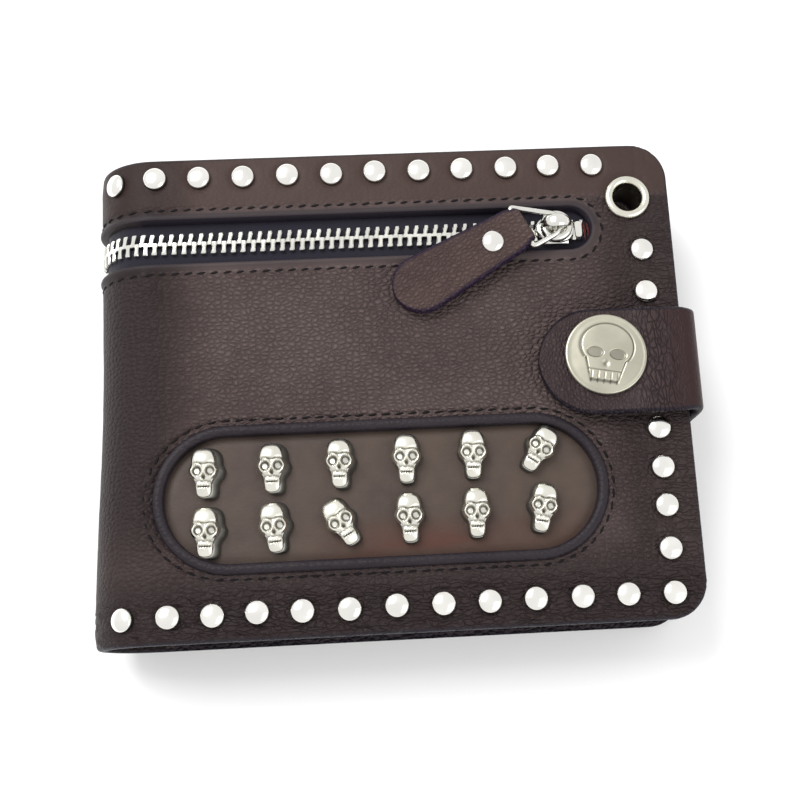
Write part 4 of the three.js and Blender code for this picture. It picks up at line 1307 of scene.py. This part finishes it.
# ---- straps made as ribbons along a path ----
def ribbon(shape, path, starts, half_widths, thick, across, relief, mid_y=0.0, paint=None):
    """A strap of rounded section along a path of (x, z); starts are the lengths along it."""
    path = np.asarray(path, float)
    along = np.gradient(path, axis=0)
    along /= np.linalg.norm(along, axis=1)[:, None]
    out = np.stack([-along[:, 1], along[:, 0]], -1)
    c = thick * 0.42
    turn = np.linspace(0, math.pi / 2, 5)[1:]
    points, flat, edges = [], [], []
    for i, (spot, l, w) in enumerate(zip(path, starts, half_widths)):
        cc = min(c, w * 0.6)
        u = np.linspace(-1, 1, across)
        ys = u * (w - cc)
        top = thick / 2 + relief(np.full(across, l), ys) - 0.12 * np.abs(u) ** 6
        right = [(w - cc + cc * math.sin(a), thick / 2 - cc + cc * math.cos(a) - 0.12) for a in turn]
        low_right = [(w - cc + cc * math.cos(a), -thick / 2 + cc - cc * math.sin(a)) for a in [0, *turn]][:-1]
        bottom = [(v, -thick / 2) for v in (u * (w - cc))[::-3]]
        left = [(-y, d) for y, d in (right + low_right)[::-1]]
        section = list(zip(ys, top)) + right + low_right + bottom + left
        for y, d in section:
            points.append((spot[0] + out[i][0] * d, y + mid_y, spot[1] + out[i][1] * d))
            flat.append((l, y))
        edges += [1 - smooth(w - np.abs(ys), 0.25, 1.0), np.ones(len(right) + len(low_right)),
                  np.full(len(bottom), 0.2), np.ones(len(left))]
    values = {"edge": np.concatenate(edges)}
    flat = np.array(flat)
    if paint:
        values.update(paint(flat[:, 0], flat[:, 1]))
        flat = flat[:, ::-1]
    return shape.add(points, rings_to_faces(len(path), len(section), capped=True), flat, **values)


def round_end(left, w, r):
    """Half widths of a strap with a round end; left is the length that remains up to the end."""
    left = np.clip(left, 0, r)
    return np.minimum(w, np.sqrt(np.maximum(r * r - (r - left) ** 2, 0.0009)))


STRAP_LOW, STRAP_HIGH = box_mm("strap_flap")
STRAP_MID = (STRAP_LOW[1] + STRAP_HIGH[1]) / 2
STRAP_W = (STRAP_HIGH[1] - STRAP_LOW[1]) / 2
STRAP_T = 2.05
strap_x = STRAP_HIGH[0] - STRAP_T / 2 - 0.02
root_z = box_mm("strap_root")[0][2] + STRAP_T / 2 + 0.03
flap_z = STRAP_LOW[2] + STRAP_T / 2 + 0.05
bend = 2.6
STRAP_TIP = 3  # length over which the path's steps shorten at the strap's round end
tip_x = STRAP_LOW[0] + STRAP_TIP * (1 - np.sin(np.linspace(0, math.pi / 2, 22)))
strap_path = np.concatenate([
    along_line([(43.0, root_z), (strap_x - bend, root_z)], 0.8)[:-1],
    arc(strap_x - bend, root_z + bend, bend, -90, 0, 0.3)[:-1],
    along_line([(strap_x, root_z + bend), (strap_x, flap_z - bend)], 0.5)[:-1],
    arc(strap_x - bend, flap_z - bend, bend, 0, 90, 0.3)[:-1],
    along_line([(strap_x - bend, flap_z), (STRAP_LOW[0] + STRAP_TIP, flap_z)], 0.45)[:-1],
    np.stack([tip_x, np.full(len(tip_x), flap_z)], -1)])
strap_l = run_lengths(strap_path)
strap_total = strap_l[-1]
bend_l = strap_l[np.argmin(np.abs(strap_path - [strap_x - bend, flap_z]).sum(1))]
strap_widths = round_end(strap_total - strap_l, STRAP_W, STRAP_W)
strap_widths = strap_widths - 0.35 * bell(strap_l, bend_l - 2, 2.2) * (strap_widths > 5)
cap_l = strap_total - (SNAP[0] - STRAP_LOW[0])


def strap_relief(l, y):
    """Wrinkles past the upper bend, a dip round the cap and a soft unevenness."""
    near = bell(l - bend_l, 5, 6.5)
    ridges = 1 - np.abs(2 * fractal(l * 0.75, (y + 40) * 0.12, 21) - 1)
    ring = bell(np.hypot(l - cap_l, y), CAP_R, 1.2)
    soft = 0.12 * (fractal(l * 0.12, (y + 40) * 0.12, 22) - 0.5)
    return 0.95 * near * (ridges - 0.85) - 0.16 * ring + soft


# painted shade: the warm tone darkens the strap from its root round both bends and the riser, fading out on
# the flap
def strap_paint(l, y):
    near = smooth(l, bend_l - 9, bend_l - 1) * (1 - smooth(l, bend_l + 3, bend_l + 12))
    return {"smooth": np.clip(near, 0, 0.9), "crinkle": bell(l - bend_l, 6, 5),
            "warm": smooth(-l, -bend_l - 9, -bend_l + 1)}


def strap_piece(name, low, high, nodes):
    """The stretch of strap between two lengths along it."""
    keep = np.where((strap_l >= low) & (strap_l <= high))[0]
    shape = ribbon(Shape(), strap_path[keep], strap_l[keep], strap_widths[keep], STRAP_T, 28, strap_relief,
                   STRAP_MID, strap_paint)
    piece = shape.build(name, strap_leather, "leather", angle=70)
    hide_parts(*nodes)
    return piece


middle_l = strap_l[np.argmin(np.abs(strap_path[:, 1] - 15.5) + np.abs(strap_path[:, 0] - strap_x))]
piece = strap_piece("strap_lower_bend", 0, middle_l, ["strap_root", "strap_riser"])
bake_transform(piece)
flap_l = strap_l[np.argmin(np.abs(strap_path[:, 0] - 50.0) + np.abs(strap_path[:, 1] - flap_z))]
piece = strap_piece("strap_upper_bend", middle_l, flap_l, ["strap_riser"])
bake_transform(piece)
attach(strap_piece("strap_flap_leather", flap_l, strap_total, ["strap_flap"]), "strap_front")


# ---- slider, wire ring and leather pull ----
SLIDER_X = centre_mm("zip_slider")[0]
RING_Z = 27.0


PLATE_Z = 23.3
PLATE_LEVELS = [(0.02, 0.12), (0.93, 0.12), (1.0, 0.3), (1.0, 0.75), (0.96, 1.0), (0.86, 1.12), (0.5, 1.22),
                (0.02, 1.25)]  # share of the plan, and height over PLATE_Z
KNOB_PROFILE = [(3.05, 24.2), (3.3, 24.8), (3.35, 25.4), (3.15, 25.9), (2.7, 26.15), (2.2, 26.1),
                (1.95, 25.7), (1.9, 25.1), (1.6, 24.7), (1.2, 24.4)]
BAND_REACH, BAND_RISE, BAND_Z = 2.75, 3.1, 25.4


def add_plate(shape):
    """The slider's upper plate, narrower towards the free end, with a flange down each side."""
    n = 64
    t = np.linspace(0, 2 * math.pi, n, endpoint=False)
    wide = 3.1 - 0.75 * smooth(-np.cos(t), -0.3, 1) - 0.25 * smooth(np.cos(t), 0.6, 1)
    px, py = squared_oval(3.9, wide, 0.75, n)
    loft(shape, [np.column_stack([SLIDER_X + grow * px, SLOT_Y + grow * py, np.full(n, PLATE_Z + z)])
                 for grow, z in PLATE_LEVELS])
    for side in (-1, 1):
        rows = []
        for x, h in ((-2.2, 0.5), (-1.9, 1.0), (2.2, 1.0), (2.7, 0.5)):
            y0, y1 = SLOT_Y + side * 2.62, SLOT_Y + side * 3.14
            section = [(y0, 21.9), (y1, 21.9), (y1, 23.2 + 0.4 * h), (y0, 23.4 + 0.4 * h)]
            rows.append([(SLIDER_X + x, y, z) for y, z in section])
        loft(shape, rows)


def add_band(shape):
    """The arched band over the knob, which holds the wire ring."""
    sweep = np.radians(np.linspace(-8, 188, 33))
    arch = np.stack([-BAND_REACH * np.cos(sweep), BAND_Z + BAND_RISE * np.sin(sweep)], -1)
    half = 0.6 + 0.78 * np.cos(np.linspace(-1, 1, len(arch)) * math.pi / 2) ** 1.5
    along = np.gradient(arch, axis=0)
    along /= np.linalg.norm(along, axis=1)[:, None]
    rows = []
    for (ax, az), (tx, tz), w in zip(arch, along, half):
        ring = []
        for a in np.linspace(0, 2 * math.pi, 20, endpoint=False):
            d = 0.5 * math.sin(a)
            ring.append((SLIDER_X + ax - tz * d, SLOT_Y + 0.2 + w * math.cos(a), az + tx * d))
        rows.append(ring)
    loft(shape, rows)


def oval_block(middle, half_x, half_y, power, count, levels):
    """A block with a squared oval plan; levels are (share of the plan, z)."""
    rows = []
    for grow, z in levels:
        px, py = squared_oval(half_x * grow, half_y * grow, power, count)
        rows.append(np.column_stack([middle[0] + px, middle[1] + py, np.full(count, z)]))
    return loft(Shape(), rows)


body_shape = Shape()
add_plate(body_shape)
knob_points, knob_faces = lathe(KNOB_PROFILE, 44, closed=True)
body_shape.add(knob_points + [SLIDER_X + 0.1, SLOT_Y, 0], knob_faces)
add_band(body_shape)
show(body_shape, "slider_body", zip_metal, "zip_metal", "slider", ["zip_slider"], angle=45)
under_z = box_mm("slider_lower_plate")[0][2]
under_levels = [(0.9, under_z), (1, under_z + 0.15), (1, under_z + 0.45), (0.9, under_z + 0.6)]
show(oval_block((SLIDER_X, SLOT_Y), 3.9, 2.6, 0.6, 40, under_levels), "slider_under_plate", zip_metal,
     "zip_metal", "slider", ["slider_lower_plate"])

RING_TURN, TAB_TURN = math.radians(4), math.radians(24)
RING_REACH = 7.4
HALF_BAR = 4.85
WIRE = 0.55
ring_frame = Matrix.Translation((SLIDER_X, SLOT_Y, RING_Z)) @ Matrix.Rotation(RING_TURN, 4, "Z")
tab_frame = ring_frame @ Matrix.Translation((-RING_REACH, 0, 0)) @ Matrix.Rotation(TAB_TURN, 4, "Z")
tab_leaf = tab_frame @ Matrix.Rotation(math.radians(-2.2), 4, "Y")


def rounded_loop(corners, radius, step=0.25):
    """A closed line through corners, each rounded."""
    corners = np.asarray(corners, float)
    out = []
    n = len(corners)
    for i in range(n):
        before, here, after = corners[i - 1], corners[i], corners[(i + 1) % n]
        u = (before - here) / np.linalg.norm(before - here)
        v = (after - here) / np.linalg.norm(after - here)
        r = radius[i]
        for t in np.linspace(0, 1, 9):
            out.append((1 - t) ** 2 * (here + u * r) + 2 * t * (1 - t) * here + t * t * (here + v * r))
    out.append(out[0])
    return along_line(out, step)[:-1]


far = np.array([-RING_REACH, 0.0])
bar = np.array([-math.sin(TAB_TURN), math.cos(TAB_TURN)]) * HALF_BAR
ring_line = rounded_loop([(0.35, 1.9), far + bar, far - bar, (0.35, -1.9)], [1.5, 1.0, 1.0, 1.5])
points, faces = tube(np.column_stack([ring_line, np.zeros(len(ring_line))]), WIRE, 14)
show(Shape().add(moved(points, ring_frame), faces), "pull_wire", zip_metal, "zip_metal", "ring",
     ["pull_ring"], angle=60)

TAB_L, TAB_T, TAB_END_R = 29.5, 1.15, 6.0
TAB_HALF_GAP = 0.62  # from the tab's middle plane to the middle of each of its two layers


def tab_path():
    """The tab's two layers as one line of (x, z), folded round the ring's bar."""
    tip = -TAB_L + 3 * (1 - np.cos(np.linspace(0, math.pi / 2, 16)))
    x = np.concatenate([tip, np.arange(-TAB_L + 3.5, -4.2, 0.5)])
    down = np.linspace(0, 1, 9)[1:]
    neck = np.stack([-4.2 + 3.9 * down, -TAB_HALF_GAP - 0.58 * smooth(down, 0, 1)], -1)
    lower = np.concatenate([np.stack([x, np.full(len(x), -TAB_HALF_GAP)], -1), neck])
    turn = np.radians(np.linspace(-84, 84, 15))
    fold = np.stack([-0.3 + 1.2 * np.cos(turn), 1.2 * np.sin(turn)], -1)
    return np.concatenate([lower, fold, lower[::-1] * [1, -1]])


def tab_relief(l, y):
    return 0.1 * (fractal(l * 0.25, (y + 30) * 0.25, 31) - 0.5)


def build_tab():
    path = tab_path()
    wide = 4.5 + 1.5 * np.clip(-path[:, 0] / 23.5, 0, 1) - 0.8 * smooth(path[:, 0], -2.2, 0.9)
    widths = round_end(path[:, 0] + TAB_L, wide, TAB_END_R)
    shape = ribbon(Shape(), path[::-1], run_lengths(path), widths[::-1], TAB_T, 24, tab_relief)
    shape.points = [moved(p, tab_leaf) for p in shape.points]
    show(shape, "pull_leather", tab_leather, "leather", "tab", ["pull_tab"], angle=70)


build_tab()
RIVET_X = 6.8
RIVET_PROFILE = [(0, -1.95), (1.5, -1.95), (1.85, -1.7), (1.85, -1.25), (0.9, -1.25), (0.9, 1.15),
                 (2.2, 1.15), (2.25, 1.35), (2.1, 1.6), (1.6, 1.85), (0.9, 2.02), (0, 2.08)]
points, faces = lathe(RIVET_PROFILE)
show(Shape().add(moved(points - [RIVET_X, 0, 0], tab_leaf), faces), "pull_rivet", stud_metal, "stud_metal",
     "tab", ["tab_rivet"], angle=50)

for name, node_name, body in (("zip_stop_top", "zip_top_stop", "front_wing"),
                              ("zip_stop_bottom", "zip_bottom_stop", "back_wing")):
    low, high = box_mm(node_name)
    middle, half = (low + high) / 2, (high - low) / 2
    levels = [(grow, middle[2] + share * half[2])
              for grow, share in ((0.8, -1), (1.0, -0.5), (1.0, 0.4), (0.8, 1.0))]
    stop = oval_block(middle, half[0], half[1], 0.5, 28, levels)
    show(stop, name, zip_metal, "zip_metal", body, [node_name])


TACK_HEIGHT = -1.75
tack = Shape()
for k in range(2):
    x = box_mm("zip_top_stop")[1][0] + 0.35 + 0.8 * k
    line = [(x, SLOT_Y - 2.6), (x + 0.25, SLOT_Y + 2.4)]
    add_stitches(tack, line, lambda x, y: TACK_HEIGHT + 0 * x, pitch=5, length=4.2)
show(tack, "zip_end_tack", red_thread, "lining", "front_wing", angle=80)


# ---- inside: linings, coin pocket, card pockets and note compartment ----
INSIDE_LEFT, INSIDE_RIGHT, INSIDE_TOP, INSIDE_CORNER = FOLD_X + 1, RIGHT - 1, TOP - 1, CORNER - 1
EYELET_GAP = (EYELET[0], EYELET[1], 0, 4.3)


def leaf(shape, z0, z1, plan, r=0.2, wave=0.0, rings=(0.12, 0.35, 0.9)):
    """A flat layer between two heights, with edges rounded by r."""
    r = min(r, (z1 - z0) / 2.05)

    def lift(x, y):
        return wave * (fractal(x * 0.06, y * 0.06, 41) - 0.5) * smooth(plan.edge(x, y), 0, 3)

    return plate(shape, plan, lambda x, y: z1 + rounded(plan.edge(x, y), r) + lift(x, y),
                 lambda x, y: z0 - rounded(plan.edge(x, y), r) + lift(x, y),
                 upright, spacing=5.0, step=1.0, rings=rings)


def inner_plan(setback=0.0, holes=()):
    return Wing(INSIDE_LEFT, INSIDE_RIGHT - setback, -INSIDE_TOP + setback, INSIDE_TOP - setback,
                INSIDE_CORNER, holes)


def z_range(node_name):
    low, high = box_mm(node_name)
    return low[2], high[2]


def place_leaf(name, node_name, body, plan, material, slot, **look):
    return show(leaf(Shape(), *z_range(node_name), plan, **look), name, material, slot, body, [node_name])


lining_front = place_leaf("lining_front", "front_lining", "front_wing", inner_plan(0, [EYELET_GAP]),
                          lining_cloth, "lining")
lining_back = place_leaf("lining_back", "back_lining", "back_wing", inner_plan(), lining_cloth, "lining")
place_leaf("card_panel_front", "front_card_base", "front_wing", inner_plan(0, [EYELET_GAP]), inner_leather,
           "inner_leather", r=0.28)

LAYER_GAP = 0.03
coin = Shape()
coin_low, coin_high = z_range("coin_pocket")
layer = (coin_high - coin_low) / 3
for k, setback in enumerate((0.0, 0.5, 0.1)):
    leaf(coin, coin_low + k * layer + LAYER_GAP, coin_low + (k + 1) * layer - LAYER_GAP,
         inner_plan(setback, [EYELET_GAP]), r=0.7, rings=(0.1, 0.3, 0.6, 1.2))
show(coin, "coin_gusset", inner_leather, "inner_leather", "front_wing", ["coin_pocket"])


def inner_stitches(name, body, z, facing, lines):
    """Rows of stitches on an inner face; facing is 1 up and -1 down."""
    shape = Shape()
    flip = Matrix.Identity(4) if facing > 0 else Matrix.Rotation(math.pi, 4, "X")

    def place(x, y):
        m = flip.copy()
        m.translation = Vector((x, y, z))
        return np.array(m)

    for line in lines:
        add_stitches(shape, line, lambda x, y: 0 * x - 0.06, pitch=2.8, place=place)
    show(shape, name, thread, "lining", body, angle=80)


POCKET_TOPS = [box_mm(f"back_card_pocket_{k}")[1][1] for k in (1, 2, 3)]
for wing, body, facing in (("front", "front_wing", -1), ("back", "back_wing", 1)):
    for k, top in enumerate(POCKET_TOPS):
        node_name = f"{wing}_card_pocket_{k + 1}"
        low, high = box_mm(node_name)
        plan = Wing(low[0], high[0], low[1], top, 2.0)
        place_leaf(f"card_pocket_{wing}_{k + 1}", node_name, body, plan, inner_leather, "inner_leather",
                   r=0.24, wave=0.12)
        face = high[2] if facing > 0 else low[2]
        lines = [[(low[0] + 1.5, top - 1.6), (high[0] - 1.5, top - 1.6)]]
        if k == 2:
            lines += [[(high[0] - 1.4, low[1] + 2), (high[0] - 1.4, top - 2)],
                      [(low[0] + 2, low[1] + 1.4), (high[0] - 2, low[1] + 1.4)]]
        inner_stitches(f"stitches_{wing}_pocket_{k + 1}", body, face, facing, lines)

# note compartment: a top panel over a folded gusset along the lower and right edges
PANEL_THICK = 0.6
GUSSET_THICK = 0.65
PLEAT = 1.96  # height of one fold of the gusset
GUSSET_END = 62  # degrees round the last corner where the gusset stops
ALONG = 60  # points along each stretch of gusset
panel_low, panel_high = z_range("back_card_base")
panel = leaf(Shape(), panel_high - PANEL_THICK, panel_high, inner_plan(), r=0.28)


def gusset_line(o, start, end):
    """The inner outline set in by o, from the fold along the lower edge and up the free edge."""
    c = INSIDE_CORNER
    cc = max(c - o, 0.3)
    line = np.concatenate([[(INSIDE_LEFT, -INSIDE_TOP + o)],
                           arc(INSIDE_RIGHT - c, -INSIDE_TOP + c, cc, -90, 0),
                           arc(INSIDE_RIGHT - c, INSIDE_TOP - c, cc, 0, GUSSET_END)])
    reference = run_lengths(line)
    t = np.linspace(start, end, ALONG) * reference[-1]
    return np.stack([np.interp(t, reference, line[:, k]) for k in (0, 1)], -1)


def gusset(shape, start, end, z0, z1):
    """A stretch of pleated wall between two heights; start and end are shares of the whole line."""
    zs = np.linspace(z0, z1, 17)
    fold = 0.45 - 0.45 * np.cos(2 * math.pi * (zs - panel_low) / PLEAT)
    outer_side = [(0.1 + f, z) for f, z in zip(fold, zs)]
    inner_side = [(0.1 + GUSSET_THICK + f, z) for f, z in zip(fold, zs)][::-1]
    rows = [np.column_stack([gusset_line(o, start, end), np.full(ALONG, z)])
            for o, z in outer_side + inner_side]
    run = np.linspace(start, end, ALONG) * gusset_total
    flat = np.concatenate([np.column_stack([run, row[:, 2]]) for row in rows])
    faces = rings_to_faces(len(rows), ALONG, closed=False, looped=True)
    faces.append(tuple(i * ALONG for i in range(len(rows))))
    faces.append(tuple(i * ALONG + ALONG - 1 for i in range(len(rows)))[::-1])
    shape.add(np.concatenate(rows), faces, flat)


# the gusset is lower where the strap passes under the wallet's edge
to_right = (INSIDE_RIGHT - INSIDE_CORNER - INSIDE_LEFT) + 0.5 * math.pi * INSIDE_CORNER
gusset_total = to_right + 2 * (INSIDE_TOP - INSIDE_CORNER) + 1.08 * INSIDE_CORNER
strap_from, strap_to = ((to_right + y + INSIDE_TOP - INSIDE_CORNER) / gusset_total
                        for y in (STRAP_LOW[1] - 0.6, STRAP_HIGH[1] + 0.6))
OVER_STRAP_Z = 5.75
gusset_top = panel_high - PANEL_THICK - LAYER_GAP
gusset(panel, 0, strap_from, panel_low + LAYER_GAP, gusset_top)
gusset(panel, strap_from, strap_to, OVER_STRAP_Z, gusset_top)
gusset(panel, strap_to, 1, panel_low + LAYER_GAP, gusset_top)
show(panel, "note_compartment", inner_leather, "inner_leather", "back_wing", ["back_card_base"])

for index in range(4):
    shape = shell_grid(Shape(), np.linspace(*fold_ends(index), 14), np.linspace(-INSIDE_TOP, INSIDE_TOP, 40),
                       lambda s, y: 0 * s - LEATHER - 0.32, lambda s, y: 0 * s - LEATHER - 0.8)
    piece = shape.build(f"lining_spine_{index + 1}", lining_cloth, "lining")
    blend_fold(piece, index)
    if index < 3:
        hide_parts(f"spine_lining_{index + 1}")


# ---- camera, light and floor ----
def aim(obj, forward, up):
    """Turn an object so that it looks forward, keeping its place."""
    f, u = Vector(forward).normalized(), Vector(up)
    right = f.cross(u).normalized()
    u = right.cross(f)
    obj.matrix_world = Matrix((
        (right.x, u.x, -f.x, obj.location.x), (right.y, u.y, -f.y, obj.location.y),
        (right.z, u.z, -f.z, obj.location.z), (0, 0, 0, 1)))


camera = bpy.data.objects.new("camera", bpy.data.cameras.new("camera"))
bpy.context.scene.collection.objects.link(camera)
camera.data.lens, camera.data.sensor_width = 63.0, 36.0
camera.data.clip_start = 0.01
camera.location = (-0.0148, -0.0661, 0.2943)
aim(camera, (0.0526, 0.2238, -0.9732), (0.0428, 0.9732, 0.2261))
bpy.context.scene.camera = camera

floor_mesh = bpy.data.meshes.new("floor")
floor_mesh.from_pydata([(-3, -3, 0), (3, -3, 0), (3, 3, 0), (-3, 3, 0)], [], [(0, 1, 2, 3)])
floor = bpy.data.objects.new("floor", floor_mesh)
bpy.context.scene.collection.objects.link(floor)
floor_look = new_material("floor_look", Roughness=0.9, Base_Color=(0.96, 0.96, 0.96, 1))[0]
floor_mesh.materials.append(floor_look)


def area_light(name, spot, size, power):
    """A square white light that looks at the middle of the back cover."""
    light = bpy.data.lights.new(name, "AREA")
    light.shape, light.size, light.energy = "SQUARE", size, power
    obj = bpy.data.objects.new(name, light)
    bpy.context.scene.collection.objects.link(obj)
    obj.location = spot
    aim(obj, -Vector(spot), (0, 1, 0.01))


area_light("key", (-0.32, 0.3, 0.62), 0.42, 3.9)
area_light("fill", (0.45, -0.3, 0.5), 0.5, 1.0)
world = bpy.data.worlds.new("studio")
world.use_nodes = True
world.node_tree.nodes["Background"].inputs["Color"].default_value = (1, 1, 1, 1)
world.node_tree.nodes["Background"].inputs["Strength"].default_value = 0.95
bpy.context.scene.world = world
bpy.context.scene.view_settings.view_transform = "Standard"
